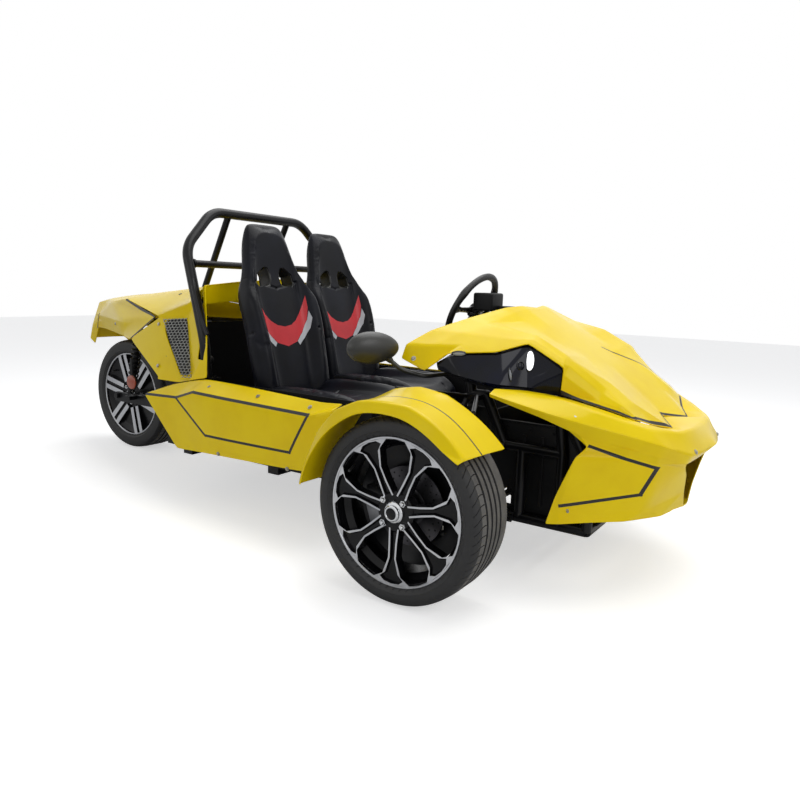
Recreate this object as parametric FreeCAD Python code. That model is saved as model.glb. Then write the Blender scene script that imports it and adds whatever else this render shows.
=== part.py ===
"""Three-wheeled open two-seat roadster: two steered front wheels, one driven rear wheel.

Millimetres. +X forward, +Y to the left, +Z up. The origin is on the ground below the middle
of the whole vehicle. Places near the front are given from the front axle with front(x), places
near the back from the rear axle with rear(x), so that either end keeps its shape when the
wheelbase changes. Half tables hold the left side (y >= 0); the right side is its mirror image.
"""
import FreeCAD, Part
import math
import os
from FreeCAD import Vector

# ---------------------------------------------------------------- driving dimensions
WHEELBASE = 2380.0
FRONT_OVERHANG = 762.0        # front axle to the tip of the nose
REAR_OVERHANG = 372.0         # rear axle to the end of the tail
FRONT_TRACK = 1510.0          # between the middles of the front tyres
FRONT_TYRE_RADIUS = 302.0
FRONT_TYRE_WIDTH = 215.0
REAR_TYRE_RADIUS = 318.0
REAR_TYRE_WIDTH = 225.0
RIM_RADIUS = 240.0            # outer lip of every wheel
BARREL_RADIUS = 205.0         # inside of the wheel's barrel
HUB_FACE = 92.0               # front face of a wheel's hub, outboard of its middle
RIM_INSET = 11.0              # rim's edge inside the tyre's widest line
FLANGE = 12.0                 # height of the rim's flange above the bead seat
FLANGE_WIDTH = 12.0
WALL = 4.0                    # body panels
FIT_GAP = 0.3                 # between pieces that rest on each other
KINGPIN_INSET = 25.0          # wheel's middle to its steering axis
PIN_RADIUS = 7.0
PIN_CLEARANCE = 0.5
SPINDLE_RADIUS = 15.0
RUNNING_CLEARANCE = 0.05
ARM_TUBE = 24.0
FRAME_TUBE = 38.0
HOOP_TUBE = 45.0
RAIL = 40.0                   # square section of the lower rails
STEER_ARM = 110.0             # steering axis to the tie rod's ball joint

FRONT_AXLE_X = (FRONT_OVERHANG + WHEELBASE + REAR_OVERHANG) / 2.0 - FRONT_OVERHANG
REAR_AXLE_X = FRONT_AXLE_X - WHEELBASE
KINGPIN_Y = FRONT_TRACK / 2.0 - KINGPIN_INSET

# Cockpit tub
TUB_FRONT = 330.0             # behind the front axle
TUB_REAR = 880.0              # ahead of the rear axle
TUB_HALF_WIDTH = 520.0
TUB_FLOOR = 235.0
TUB_TOP = 560.0
TUB_BACK_TOP = 790.0
FOOTWELL_HALF_WIDTH = 270.0
FOOTWELL_FRONT = 60.0         # ahead of the front axle
RAIL_Y = 280.0
RAIL_BOTTOM = 160.0

# Front frame
SIDE_TUBE_Y = 310.0
LOWER_TUBE_Z = 185.0
UPPER_TUBE_Z = 440.0
TOWER_Z = 610.0
FRAME_NOSE = 430.0            # ahead of the front axle
LOWER_PIVOT_X = 150.0
UPPER_PIVOT_X = 110.0
BALL_JOINT_LOW = 185.0
BALL_JOINT_HIGH = 420.0
LIP_Z = 258.0                 # underside of the splitter lip
SHOCK_FOOT_Y = 600.0
SHOCK_HEAD_Y = 352.0
SHOCK_SEAT = 14.0             # plate on the lower arm above its middle line
RACK_X = STEER_ARM
RACK_Z = 250.0
RACK_HALF = 300.0
RACK_RADIUS = 12.0

# Rear end
PIVOT_X = 580.0               # ahead of the rear axle
PIVOT_Z = 320.0
SWINGARM_Y = 165.0
ARM_BAR = 34.0

BAY_TOP = 760.0               # upper rails of the engine bay
BAY_FRONT = TUB_REAR - 16.0 - FIT_GAP
STAY_X = 690.0                # foot of the hoop's rear stays

# Seats
SEAT_Y = TUB_HALF_WIDTH / 2.0 + 2.0
SEAT_X = 1450.0               # foot of the passenger's backrest, ahead of the rear axle
SEAT_SLIDE = 90.0             # the driver's seat stands this much further back
SEAT_WIDTH = TUB_HALF_WIDTH - 90.0
SEAT_RISE = 130.0             # plinth under the cushion
SEAT_LENGTH = 520.0
SEAT_RECLINE = 13.0
BACK_HEIGHT = 850.0
CUSHION_HEIGHT = 150.0

# Steering wheel
STEER_HUB = (-340.0, 240.0, 900.0)    # from the front axle
STEER_RAKE = 62.0                     # tilt of the column from vertical
MIRROR_SWEEP = 25.0                    # outer ends of the mirrors swept back
COLUMN_LENGTH = 272.0                  # from the wheel to the lower end of the column
STEER_RIM_RADIUS = 160.0
STEER_RIM_TUBE = 15.0


def front(x):
    """Place along X, given from the front axle."""
    return FRONT_AXLE_X + x


def rear(x):
    """Place along X, given from the rear axle."""
    return REAR_AXLE_X + x


# ---------------------------------------------------------------- shape helpers
def box(x0, x1, y0, y1, z0, z1):
    """Block between two corners."""
    return Part.makeBox(x1 - x0, y1 - y0, z1 - z0, Vector(x0, y0, z0))


def rod(a, b, diameter):
    """Round bar from point a to point b."""
    a, b = Vector(*a), Vector(*b)
    return Part.makeCylinder(diameter / 2.0, (b - a).Length, a, b - a)


def fuse(shapes):
    """One solid from shapes that overlap."""
    shapes = list(shapes)
    if len(shapes) == 1:
        return shapes[0]
    return shapes[0].multiFuse(shapes[1:]).removeSplitter()


def tube(points, diameter):
    """Round tube through points, with a ball at each bend."""
    pieces = [rod(a, b, diameter) for a, b in zip(points, points[1:])]
    pieces += [Part.makeSphere(diameter / 2.0, Vector(*p)) for p in points[1:-1]]
    return fuse(pieces)


def flip(shape):
    """Mirror image on the other side of the vehicle."""
    return shape.mirror(Vector(0, 0, 0), Vector(0, 1, 0))


def mirrored(point):
    """Mirror image of a point."""
    return (point[0], -point[1], point[2])


def prism(a, b, width):
    """Square bar from point a to point b, two sides along Y."""
    a, b = Vector(*a), Vector(*b)
    side = (b - a).cross(Vector(0, 1, 0)).normalize() * width / 2.0
    out = Vector(0, width / 2.0, 0)
    corners = [a + side + out, a + side - out, a - side - out, a - side + out]
    return Part.Face(Part.makePolygon(corners + corners[:1])).extrude(b - a)


def up_to(post, skin, foot):
    """The part of a post between its foot and the skin that it holds up."""
    pieces = post.cut(skin).Solids
    start = Part.Vertex(Vector(*foot))
    return min(pieces, key=lambda piece: piece.distToShape(start)[0])


def both(shape):
    """A shape and its mirror image."""
    return [shape, flip(shape)]


def ring(inner, outer, y0, y1, x, z):
    """Ring about an axis along Y."""
    low, high = min(y0, y1), max(y0, y1)
    disc = Part.makeCylinder(outer, high - low, Vector(x, low, z), Vector(0, 1, 0))
    if inner <= 0:
        return disc
    hole = Part.makeCylinder(inner, high - low + 2, Vector(x, low - 1, z), Vector(0, 1, 0))
    return disc.cut(hole)


def turned(profile, x, z):
    """Solid of revolution about the axis along Y through (x, z), from (radius, y) pairs."""
    points = [Vector(x + r, y, z) for r, y in profile]
    face = Part.Face(Part.makePolygon(points + points[:1]))
    return face.revolve(Vector(x, 0, z), Vector(0, 1, 0), 360)


def panel(rows, wall, outward, skip=()):
    """Sheet of facets through a grid of points, with an even wall behind it.

    rows: lists of (x, y, z) of one length. outward: the side that the points lie on.
    skip: (row, column) cells that stay open.
    """
    count = len(rows[0])
    points = [Vector(*p) for row in rows for p in row]
    outer = []
    for i in range(len(rows) - 1):
        for j in range(count - 1):
            if (i, j) in skip:
                continue
            a, b = i * count + j, i * count + j + 1
            c, d = b + count, a + count
            for facet in ((a, b, c), (a, c, d)):
                p, q, r = (points[k] for k in facet)
                if (q - p).cross(r - p).Length > 1.0:
                    outer.append(facet)

    def normal(facet):
        p, q, r = (points[k] for k in facet)
        return (q - p).cross(r - p).normalize()

    total = Vector(0, 0, 0)
    for facet in outer:
        total += normal(facet)
    if total.dot(Vector(*outward)) < 0:
        outer = [(a, c, b) for a, b, c in outer]
    lean = {}
    for facet in outer:
        for k in facet:
            lean[k] = lean.get(k, Vector(0, 0, 0)) + normal(facet)
    inner = {k: points[k] - v.normalize() * wall for k, v in lean.items()}
    faces = [[points[k] for k in facet] for facet in outer]
    faces += [[inner[k] for k in reversed(facet)] for facet in outer]
    edges = {}
    for facet in outer:
        for k in range(3):
            edges[(facet[k], facet[(k + 1) % 3])] = True
    for a, b in edges:
        if (b, a) not in edges:
            faces.append([points[b], points[a], inner[a]])
            faces.append([points[b], inner[a], inner[b]])
    shell = Part.makeShell([Part.Face(Part.makePolygon(f + f[:1])) for f in faces])
    shell.sewShape()
    solid = Part.makeSolid(shell)
    if solid.Volume < 0:
        solid.reverse()
    return solid.removeSplitter()


def whole(half_rows):
    """Full-width rows from left halves whose first point lies on the middle line."""
    return [[mirrored(p) for p in reversed(row[1:])] + list(row) for row in half_rows]


# ---------------------------------------------------------------- wheels
def tyre(radius, width, y, x, grooves):
    """Low tyre: bead, bulged wall, rounded shoulder, grooved tread."""
    half = width / 2.0
    bead = RIM_RADIUS - FLANGE
    height = radius - bead
    seat_edge = half - RIM_INSET - FLANGE_WIDTH - FIT_GAP
    side = ((0.45, 1.0), (0.72, 0.985), (0.90, 0.90), (0.985, 0.76), (1.0, 0.62))
    right = [(bead, y + seat_edge), (RIM_RADIUS + 1.5, y + seat_edge)]
    right += [(bead + height * h, y + half * w) for h, w in side]
    left = [(r, 2 * y - w) for r, w in reversed(right)]
    crown = []
    for place in grooves:
        middle = y + half * place
        crown += [(radius, middle + 5.0), (radius - 7.0, middle + 4.0),
                  (radius - 7.0, middle - 4.0), (radius, middle - 5.0)]
    return turned(right + crown + left, x, radius)


def rim(radius, width, y, x, side, spokes, bolts):
    """Wheel with a barrel, a dished spoke face on one side and a bored hub.

    side: +1 or -1, the way that the face looks. The windows between the spokes are cut out.
    """
    half = width / 2.0 - RIM_INSET
    lip, bore = RIM_RADIUS, BARREL_RADIUS
    bead = RIM_RADIUS - FLANGE - FIT_GAP
    right = ((bore, half), (lip - 2, half), (lip, half - 3), (lip, half - FLANGE_WIDTH + 3),
             (bead, half - FLANGE_WIDTH), (bead, half - 40), (bore + 10, half - 52))
    outline = right + tuple((r, -w) for r, w in reversed(right))
    barrel = turned([(r, y + side * w) for r, w in outline], x, radius)
    # dished face: (radius, distance outboard of the wheel's middle)
    dish = ((0, HUB_FACE), (62, HUB_FACE), (120, HUB_FACE), (bore + 4, half - 8), (bore + 4, half - 34),
            (120, HUB_FACE - 30), (72, HUB_FACE - 40), (72, 12), (0, 12))
    face = turned([(r, y + side * w) for r, w in dish], x, radius)
    reach = half + 60.0
    step = 2 * math.pi / spokes
    for k in range(spokes):
        middle = k * step + math.pi / 2
        outline = ((84, 0.07), (150, 0.19), (186, 0.22), (198, 0.12))
        turns = [(r, middle - step * a) for r, a in outline]
        turns += [(r, middle + step * a) for r, a in reversed(outline)]
        points = [Vector(x + r * math.cos(t), y - reach, radius + r * math.sin(t)) for r, t in turns]
        window = Part.Face(Part.makePolygon(points + points[:1]))
        face = face.cut(window.extrude(Vector(0, 2 * reach, 0)))
    solid = barrel.fuse(face).removeSplitter()
    for k in range(bolts):
        turn = math.pi / 4 + k * 2 * math.pi / bolts
        a = (x + 50 * math.cos(turn), y + side * (HUB_FACE - 8), radius + 50 * math.sin(turn))
        solid = solid.fuse(rod(a, (a[0], y + side * (HUB_FACE + 6), a[2]), 19))
    return solid.removeSplitter()


def front_wheel(side):
    """Tyre, rim and brake disc of one front wheel; side is +1 on the left."""
    x, z, y = front(0), FRONT_TYRE_RADIUS, side * FRONT_TRACK / 2.0
    wheel = rim(z, FRONT_TYRE_WIDTH, y, x, side, spokes=7, bolts=4)
    bore = ring(0, SPINDLE_RADIUS + 1.0, y + side * 11, y + side * 34, x, z)
    disc = ring(62, 130, y + side * 1, y + side * 7, x, z)
    bell = ring(56, 70, y + side * 1, y + side * (12 - FIT_GAP), x, z)
    return {"tyre": tyre(z, FRONT_TYRE_WIDTH, y, x, (0.36, 0.12, -0.12, -0.36)),
            "rim": wheel.cut(bore),
            "disc": disc.fuse(bell).removeSplitter()}


def rear_wheel():
    """Tyre, rim and brake disc of the rear wheel, its face to the right."""
    x, z = rear(0), REAR_TYRE_RADIUS
    wheel = rim(z, REAR_TYRE_WIDTH, 0, x, -1, spokes=5, bolts=4)
    hub = ring(0, 42, -20, REAR_TYRE_WIDTH / 2.0 - 8, x, z)
    bore = ring(0, SPINDLE_RADIUS + RUNNING_CLEARANCE, -100, 200, x, z)
    high = REAR_TYRE_WIDTH / 2.0 - 8 + FIT_GAP
    disc = ring(40, 110, high, high + 6, x, z)
    return {"tyre": tyre(z, REAR_TYRE_WIDTH, 0, x, (0.36, 0.12, -0.12, -0.36)),
            "rim": wheel.fuse(hub).cut(bore).removeSplitter(),
            "disc": disc.cut(bore)}


# ---------------------------------------------------------------- front suspension, left side
def knuckle():
    """Upright with its two pins, wheel spindle, steering arm and brake caliper."""
    x, y, z = front(0), KINGPIN_Y, FRONT_TYRE_RADIUS
    low, high = BALL_JOINT_LOW + 15, BALL_JOINT_HIGH - 15
    upright = box(x - 18, x + 18, y - 18, y + 18, low, high)
    pins = [rod((x, y, low + 1), (x, y, BALL_JOINT_LOW - 14), 2 * PIN_RADIUS),
            rod((x, y, high - 1), (x, y, BALL_JOINT_HIGH + 14), 2 * PIN_RADIUS)]
    boss = ring(0, 30, y, y + 22, x, z)
    spindle = ring(0, SPINDLE_RADIUS, y, y + 56, x, z)
    arm = box(x, x + STEER_ARM + 12, y - 12, y + 12, RACK_Z - 25, RACK_Z - 13)
    web = box(x, x + 40, y - 12, y + 12, RACK_Z - 25, RACK_Z + 30)
    stud = rod((x + STEER_ARM, y, RACK_Z - 14), (x + STEER_ARM, y, RACK_Z + 12), 10)
    carrier = box(x - 150, x, y - 6, y + 8, z + 10, z + 34)
    disc_in, disc_out = FRONT_TRACK / 2.0 + 1, FRONT_TRACK / 2.0 + 7
    caliper = box(x - 155, x - 95, y + 2, disc_out + 16, z - 35, z + 45)
    slot = ring(0, 136, disc_in - 5, disc_out + 5, x, z)
    caliper = caliper.cut(slot)
    return fuse([upright, boss, spindle, arm, web, stud, carrier, caliper] + pins)


def control_arms():
    """Upper and lower wishbones of the left side, each with an eye round its pin."""
    arms = []
    for pivot_x, height in ((UPPER_PIVOT_X, BALL_JOINT_HIGH), (LOWER_PIVOT_X, BALL_JOINT_LOW)):
        inner_z = UPPER_TUBE_Z if height > FRONT_TYRE_RADIUS else LOWER_TUBE_Z
        inner_y = SIDE_TUBE_Y + FRAME_TUBE / 2.0 + FIT_GAP
        eye = (front(0), KINGPIN_Y, height)
        pieces = [Part.makeCylinder(20, 26, Vector(eye[0], eye[1], height - 13))]
        for sign in (-1, 1):
            foot = (front(sign * pivot_x), inner_y + 14, inner_z)
            pieces.append(rod(foot, eye, ARM_TUBE))
            pieces.append(rod((foot[0] - 18, foot[1], foot[2]), (foot[0] + 18, foot[1], foot[2]), 28))
        if height < FRONT_TYRE_RADIUS:
            pieces.append(box(front(0) - 52, front(0) + 52, SHOCK_FOOT_Y - 20, SHOCK_FOOT_Y + 20,
                              height - 8, height + SHOCK_SEAT))
        hole = Part.makeCylinder(PIN_RADIUS + PIN_CLEARANCE, 60, Vector(eye[0], eye[1], height - 30))
        room = [Part.makeCylinder(60, 60, Vector(eye[0], eye[1], height + 13)),
                Part.makeCylinder(60, 60, Vector(eye[0], eye[1], height - 73))]
        arms.append(fuse(pieces).cut(hole).cut(room[0]).cut(room[1]))
    return arms


def fender_stays():
    """Round stays from the suspension towers to the inner edges of both arches."""
    half = []
    for near, row in ((24, FENDER[2]), (-24, FENDER[5])):
        far, edge = row[0]
        half.append(rod((front(near), SHOCK_HEAD_Y + 25, TOWER_Z),
                        (front(far), FENDER_Y[0] - FIT_GAP - 2, edge - 2), 16))
    return half + [flip(s) for s in half]


def coil_over(foot, head, spring, body):
    """Damper with its spring shown as a sleeve, between two points."""
    a, b = Vector(*foot), Vector(*head)
    length = (b - a).Length
    line = (b - a).normalize()
    sleeve = [tuple(a + line * (length * share)) for share in (0.34, 0.90)]
    eyes = [rod((foot[0], foot[1], foot[2] - 14), (foot[0], foot[1], foot[2] + 12), body - 8),
            rod((head[0], head[1], head[2] - 12), (head[0], head[1], head[2] + 14), body - 8)]
    bar = [tuple(a + line * 2), tuple(b - line * 2)]
    return fuse([rod(bar[0], bar[1], body - 8), rod(sleeve[0], sleeve[1], spring)] + eyes)


# ---------------------------------------------------------------- frames
def main_frame():
    """Lower rails under the tub with their cross members."""
    x0, x1 = rear(TUB_REAR), front(-TUB_FRONT)
    top = RAIL_BOTTOM + RAIL
    rails = [box(x0, x1 + 30 - FIT_GAP, s * RAIL_Y - RAIL / 2, s * RAIL_Y + RAIL / 2, RAIL_BOTTOM, top)
             for s in (-1, 1)]
    places = (x0, (x0 + x1) / 2 - 30, x1 - 60)
    crosses = [box(p, p + 60, -430, 430, RAIL_BOTTOM + 10, TUB_FLOOR - FIT_GAP) for p in places]
    return fuse(rails + crosses)


def front_frame():
    """Tube frame that carries the front suspension, the nose and the steering rack."""
    x0, nose = front(-TUB_FRONT) + 30, front(FRAME_NOSE)
    y = SIDE_TUBE_Y
    low = [(x0, RAIL_Y, LOWER_TUBE_Z), (front(-270), RAIL_Y, LOWER_TUBE_Z), (front(-200), y, LOWER_TUBE_Z),
           (nose, y, LOWER_TUBE_Z)]
    high = [(x0 + 20, y, UPPER_TUBE_Z), (front(330), y, UPPER_TUBE_Z)]
    posts = []
    for place in (-LOWER_PIVOT_X - 30, LOWER_PIVOT_X + 30):
        posts.append(rod((front(place), y, LOWER_TUBE_Z), (front(place), y, UPPER_TUBE_Z), FRAME_TUBE))
    tower = [(front(-UPPER_PIVOT_X), y, UPPER_TUBE_Z), (front(-30), y, TOWER_Z),
             (front(30), y, TOWER_Z), (front(UPPER_PIVOT_X), y, UPPER_TUBE_Z)]
    nose_post = [(front(330), y, LOWER_TUBE_Z), (front(330), y, UPPER_TUBE_Z), (front(300), y, 640)]
    brace = [(nose, y, LOWER_TUBE_Z), (nose, y, 400), (front(300), y, 640)]
    stay = [(front(-30), y, TOWER_Z), (front(-60), y, 760)]
    half = [tube(low, FRAME_TUBE), tube(high, FRAME_TUBE), tube(tower, FRAME_TUBE),
            tube(nose_post, FRAME_TUBE), tube(brace, FRAME_TUBE), tube(stay, FRAME_TUBE)] + posts
    sides = half + [flip(s) for s in half]
    sides.append(rod((front(307), -y, 600), (front(307), y, 600), 30))
    sides.append(rod((front(-60), -y, 750), (front(-60), y, 750), 30))
    pivot = (front(LOWER_PIVOT_X + 30), y, LOWER_TUBE_Z)
    sides.append(rod(mirrored(pivot), pivot, 30))
    sides.append(rod((nose, -y, LOWER_TUBE_Z), (nose, y, LOWER_TUBE_Z), FRAME_TUBE))
    sides += both(box(front(-28), front(28), y, SHOCK_HEAD_Y + 22, TOWER_Z - 10, TOWER_Z + 6))
    housing = ring(RACK_RADIUS + PIN_CLEARANCE, 24, -215, 215, front(RACK_X), RACK_Z)
    feet = [box(front(RACK_X) - 10, front(LOWER_PIVOT_X + 30), s * 150 - 20, s * 150 + 20,
                LOWER_TUBE_Z - 8, RACK_Z - 20) for s in (-1, 1)]
    bonnet_skin = panel(whole(placed(BONNET, front)), WALL + FIT_GAP, (0, 0, 1))
    band_skin = panel(placed(BAND, front), WALL + FIT_GAP, (0, 0, 1))
    posts = []
    for line in (((-60, 250, 750), (42, 250, 756), (42, 250, 1000)), ((307, 230, 600), (307, 230, 900))):
        line = [(front(p[0]),) + p[1:] for p in line]
        for points in (line, [mirrored(p) for p in line]):
            posts.append(up_to(tube(points, 16), bonnet_skin, points[0]))
    line = [(front(307), y, 600), (front(350), 520, 690)]
    posts += both(up_to(tube(line, 16), band_skin, line[0]))
    lip_post = rod((nose, 250, LOWER_TUBE_Z), (front(500), 250, LIP_Z - FIT_GAP), 16)
    posts += both(lip_post.common(box(nose - 50, front(600), 0, 400, 0, LIP_Z - FIT_GAP)))
    return fuse(sides + feet + [housing] + posts)


def hoop_leg():
    """Points of the roll hoop's left leg, from its foot on the tub to the top bend."""
    side = TUB_HALF_WIDTH
    return [(rear(1125), side - 28, TUB_TOP + 3), (rear(1125), side - 20, TUB_TOP + 150),
            (rear(980), side - 43, 1130), (rear(950), 300, 1300)]


def hoop_stay():
    """Ends of the roll hoop's left rear stay."""
    return (rear(953), 200, 1296), (rear(STAY_X + 2), 200, BAY_TOP + 22)


def roll_hoop():
    """Roll hoop over the seats with its rear stays and the harness bar."""
    leg = hoop_leg()
    hoop = tube(leg + [mirrored(p) for p in reversed(leg)], HOOP_TUBE)
    side = TUB_HALF_WIDTH
    feet = both(box(leg[0][0] - 45, leg[0][0] + 45, side - 70, side - 15, TUB_TOP + FIT_GAP, TUB_TOP + 6))
    harness = rod((rear(1005), 39 - side, 1060), (rear(1005), side - 39, 1060), 32)
    stays = both(rod(*hoop_stay(), 32))
    return fuse([hoop, harness] + feet + stays)


def rear_frame():
    """Tubes behind the tub that carry the engine, the swingarm, the shocks and the tail."""
    x0 = rear(BAY_FRONT)
    pivot = (rear(PIVOT_X + 40), 235, PIVOT_Z)
    low = [(x0, RAIL_Y, LOWER_TUBE_Z), (rear(PIVOT_X + 120), 250, LOWER_TUBE_Z), pivot]
    post = [(x0, RAIL_Y, LOWER_TUBE_Z), (x0, RAIL_Y + 60, 500), (x0, RAIL_Y + 60, BAY_TOP)]
    high = [(x0, RAIL_Y + 60, BAY_TOP), (rear(300), 235, BAY_TOP), (rear(-60), 120, BAY_TOP + 40)]
    rise = [pivot, (rear(PIVOT_X - 120), 263, BAY_TOP)]
    half = [tube(p, 32) for p in (low, post, high, rise)]
    sides = half + [flip(s) for s in half]
    ends = (low[0], post[2], (rear(STAY_X), 300, BAY_TOP), (rear(320), 236, BAY_TOP), high[2])
    cross = [rod(mirrored(p), p, 32) for p in ends]
    pivot_bar = rod((pivot[0], -pivot[1], pivot[2]), pivot, 32)
    plates = both(box(rear(PIVOT_X) - 25, rear(PIVOT_X) + 50, 205, 215, PIVOT_Z - 45, PIVOT_Z + 45))
    bolt = rod((rear(PIVOT_X), -210, PIVOT_Z), (rear(PIVOT_X), 210, PIVOT_Z), 18)
    quarter_skin = panel(placed(QUARTER, rear), WALL + FIT_GAP, (0, 1, 0.4), skip=((2, 2),))
    tail_skin = panel(whole(placed(TAIL, rear)), WALL + FIT_GAP, (0, 0, 1))
    posts = []
    for skin, foot, head in ((quarter_skin, (STAY_X, 280, BAY_TOP), (STAY_X, 280, 1000)),
                             (quarter_skin, (BAY_FRONT, 340, 640), (BAY_FRONT, 600, 640)),
                             (tail_skin, (-55, 90, BAY_TOP + 40), (-55, 90, 1000))):
        foot, head = (rear(foot[0]),) + foot[1:], (rear(head[0]),) + head[1:]
        posts.append(up_to(rod(foot, head, 16), skin, foot))
    return fuse(sides + cross + [pivot_bar, bolt] + plates + posts + [flip(p) for p in posts])


def swingarm():
    """Rear swingarm with the wheel's axle."""
    hub = ring(9 + FIT_GAP, 24, -200, 200, rear(PIVOT_X), PIVOT_Z)
    arms = both(box(rear(-30), rear(PIVOT_X - 8), SWINGARM_Y - 12, SWINGARM_Y + 12,
                    PIVOT_Z - ARM_BAR, PIVOT_Z + ARM_BAR / 2))
    bridge = box(rear(REAR_TYRE_RADIUS + 40), rear(REAR_TYRE_RADIUS + 80), -SWINGARM_Y, SWINGARM_Y,
                 PIVOT_Z - ARM_BAR, PIVOT_Z + ARM_BAR / 2)
    axle = rod((rear(0), -SWINGARM_Y - 30, REAR_TYRE_RADIUS), (rear(0), SWINGARM_Y + 30, REAR_TYRE_RADIUS),
               2 * SPINDLE_RADIUS)
    lugs = both(box(rear(150) - 22, rear(150) + 22, SWINGARM_Y - 12, SWINGARM_Y + 60,
                    PIVOT_Z - 5, PIVOT_Z + 16))
    bore = ring(0, 9 + FIT_GAP, -201, 201, rear(PIVOT_X), PIVOT_Z)
    return fuse([hub, bridge, axle] + arms + lugs).cut(bore)


def floor_tub():
    """Open cockpit tub with a raised back wall and a footwell between the front wheels."""
    x0, x1 = rear(TUB_REAR), front(-TUB_FRONT)
    half, foot = TUB_HALF_WIDTH, FOOTWELL_HALF_WIDTH
    wide = box(x0, x1, -half, half, TUB_FLOOR, TUB_TOP)
    back = box(x0, x0 + WALL, -half + 110, half - 110, TUB_FLOOR, TUB_BACK_TOP)
    toe = box(x1 - WALL, front(FOOTWELL_FRONT), -foot, foot, TUB_FLOOR, TUB_TOP)
    room = box(x0 + WALL, x1 - WALL, -half + WALL, half - WALL, TUB_FLOOR + WALL, TUB_TOP + 1)
    toe_room = box(x1 - 2 * WALL, front(FOOTWELL_FRONT) - WALL, -foot + WALL, foot - WALL,
                   TUB_FLOOR + WALL, TUB_TOP + 1)
    rim_edge = [(rear(1190), half - 2), (rear(1190), half + 20), (rear(1392), half + 25),
                (front(-500), half + 72), (front(-412), half + 60), (front(-412), half - 2)]
    points = [Vector(x, y, TUB_TOP - 24) for x, y in rim_edge]
    rim = Part.Face(Part.makePolygon(points + points[:1])).extrude(Vector(0, 0, WALL))
    skin = side_skin(WALL + FIT_GAP)
    posts = []
    for x in (front(-450), rear(1640), rear(1250)):
        foot = (x, half - 2, TUB_TOP - 90)
        posts.append(up_to(rod(foot, (x, half + 200, TUB_TOP - 90), 16), skin, foot))
    tub = fuse([wide, back, toe] + both(rim) + posts + [flip(p) for p in posts])
    return tub.cut(room).cut(toe_room)


# ---------------------------------------------------------------- seats and controls
def seat(y, slide):
    """Bucket seat: plinth, cushion, thigh bolsters, reclined shell, side bolsters and headrest."""
    x, foot = rear(SEAT_X) - slide, TUB_FLOOR + WALL + FIT_GAP
    half = SEAT_WIDTH / 2.0
    z = foot + SEAT_RISE
    plinth = box(x - 40, x + SEAT_LENGTH - 60, y - half + 60, y + half - 60, foot, z)
    cushion = box(x - 60, x + SEAT_LENGTH, y - half + 60, y + half - 60, z, z + CUSHION_HEIGHT)
    thighs = [box(x - 60, x + SEAT_LENGTH - 30, y + s * (half - 35) - 35, y + s * (half - 35) + 35,
                  z, z + CUSHION_HEIGHT + 60) for s in (-1, 1)]
    # outline of the shell seen from the front: (half width, height above the seat's foot)
    outline = ((half - 10, 0), (half - 12, 300), (half, 480), (half - 3, 520), (half - 37, 600),
               (half - 61, 690), (125, 800), (95, BACK_HEIGHT))
    points = [Vector(x, y + w, z + 60 + h) for w, h in outline]
    points += [Vector(x, y - w, z + 60 + h) for w, h in reversed(outline)]
    shell = Part.Face(Part.makePolygon(points + points[:1])).extrude(Vector(-75, 0, 0))
    wings = [box(x - 60, x + 75, y + s * (half - 35) - 30, y + s * (half - 35) + 30, z + 80, z + 570)
             for s in (-1, 1)]
    back = fuse([shell] + wings)
    back.rotate(Vector(x, y, z + 60), Vector(0, 1, 0), -SEAT_RECLINE)
    return fuse([plinth, cushion, back] + thighs)


def steering_wheel():
    """Rim, three spokes, boss and shaft stub, turned about the column's line."""
    rim_ring = Part.makeTorus(STEER_RIM_RADIUS, STEER_RIM_TUBE)
    boss = Part.makeCylinder(34, 40, Vector(0, 0, -40))
    shaft = Part.makeCylinder(11, 95, Vector(0, 0, -135))
    spokes = []
    for turn in (90, 180, 270):
        bar = box(20, STEER_RIM_RADIUS - 4, -16, 16, -14, -6)
        bar.rotate(Vector(0, 0, 0), Vector(0, 0, 1), turn)
        spokes.append(bar)
    wheel = fuse([rim_ring, boss, shaft] + spokes)
    wheel.rotate(Vector(0, 0, 0), Vector(0, 1, 0), -STEER_RAKE)
    wheel.translate(Vector(front(STEER_HUB[0]), STEER_HUB[1], STEER_HUB[2]))
    return wheel


def column_line(distance):
    """Point on the steering axis, this far ahead of the wheel's middle."""
    rake = math.radians(STEER_RAKE)
    return (front(STEER_HUB[0]) + distance * math.sin(rake), STEER_HUB[1],
            STEER_HUB[2] - distance * math.cos(rake))


def steering_column():
    """Fixed outer tube of the column; the wheel's shaft turns in its bore."""
    outer = rod(column_line(60), column_line(COLUMN_LENGTH), 34)
    return outer.cut(rod(column_line(59), column_line(145), 23))


def dashboard():
    """Cross beam below the scuttle, with the column's bracket and the instrument hood on its arm."""
    y = STEER_HUB[1]
    beam = box(front(-75), front(-20), -400, 400, 765.3, 830)
    bracket = box(front(-130), front(-60), y - 40, y + 40, 765.3, 900)
    arm = box(front(-215), front(-60), y - 50, y - 10, 894, 918)
    pod = box(front(-285), front(-192), y - 100, y + 12, 894, 972)
    room = rod(column_line(60), column_line(COLUMN_LENGTH), 34 + 2 * FIT_GAP)
    return fuse([beam, bracket, arm, pod]).cut(room)


def pedals():
    """Brake and throttle pedals hung in the footwell on the driver's side."""
    pieces = []
    for y, width in ((FOOTWELL_HALF_WIDTH - 128, 60), (FOOTWELL_HALF_WIDTH - 38, 45)):
        foot = box(front(-60), front(-52), y - width / 2, y + width / 2, TUB_FLOOR + 70, TUB_FLOOR + 150)
        arm = box(front(-55), front(FOOTWELL_FRONT) - WALL - FIT_GAP, y - 8, y + 8,
                  TUB_FLOOR + 100, TUB_FLOOR + 124)
        pieces.append(foot.fuse(arm).removeSplitter())
    return Part.makeCompound(pieces)


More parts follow.
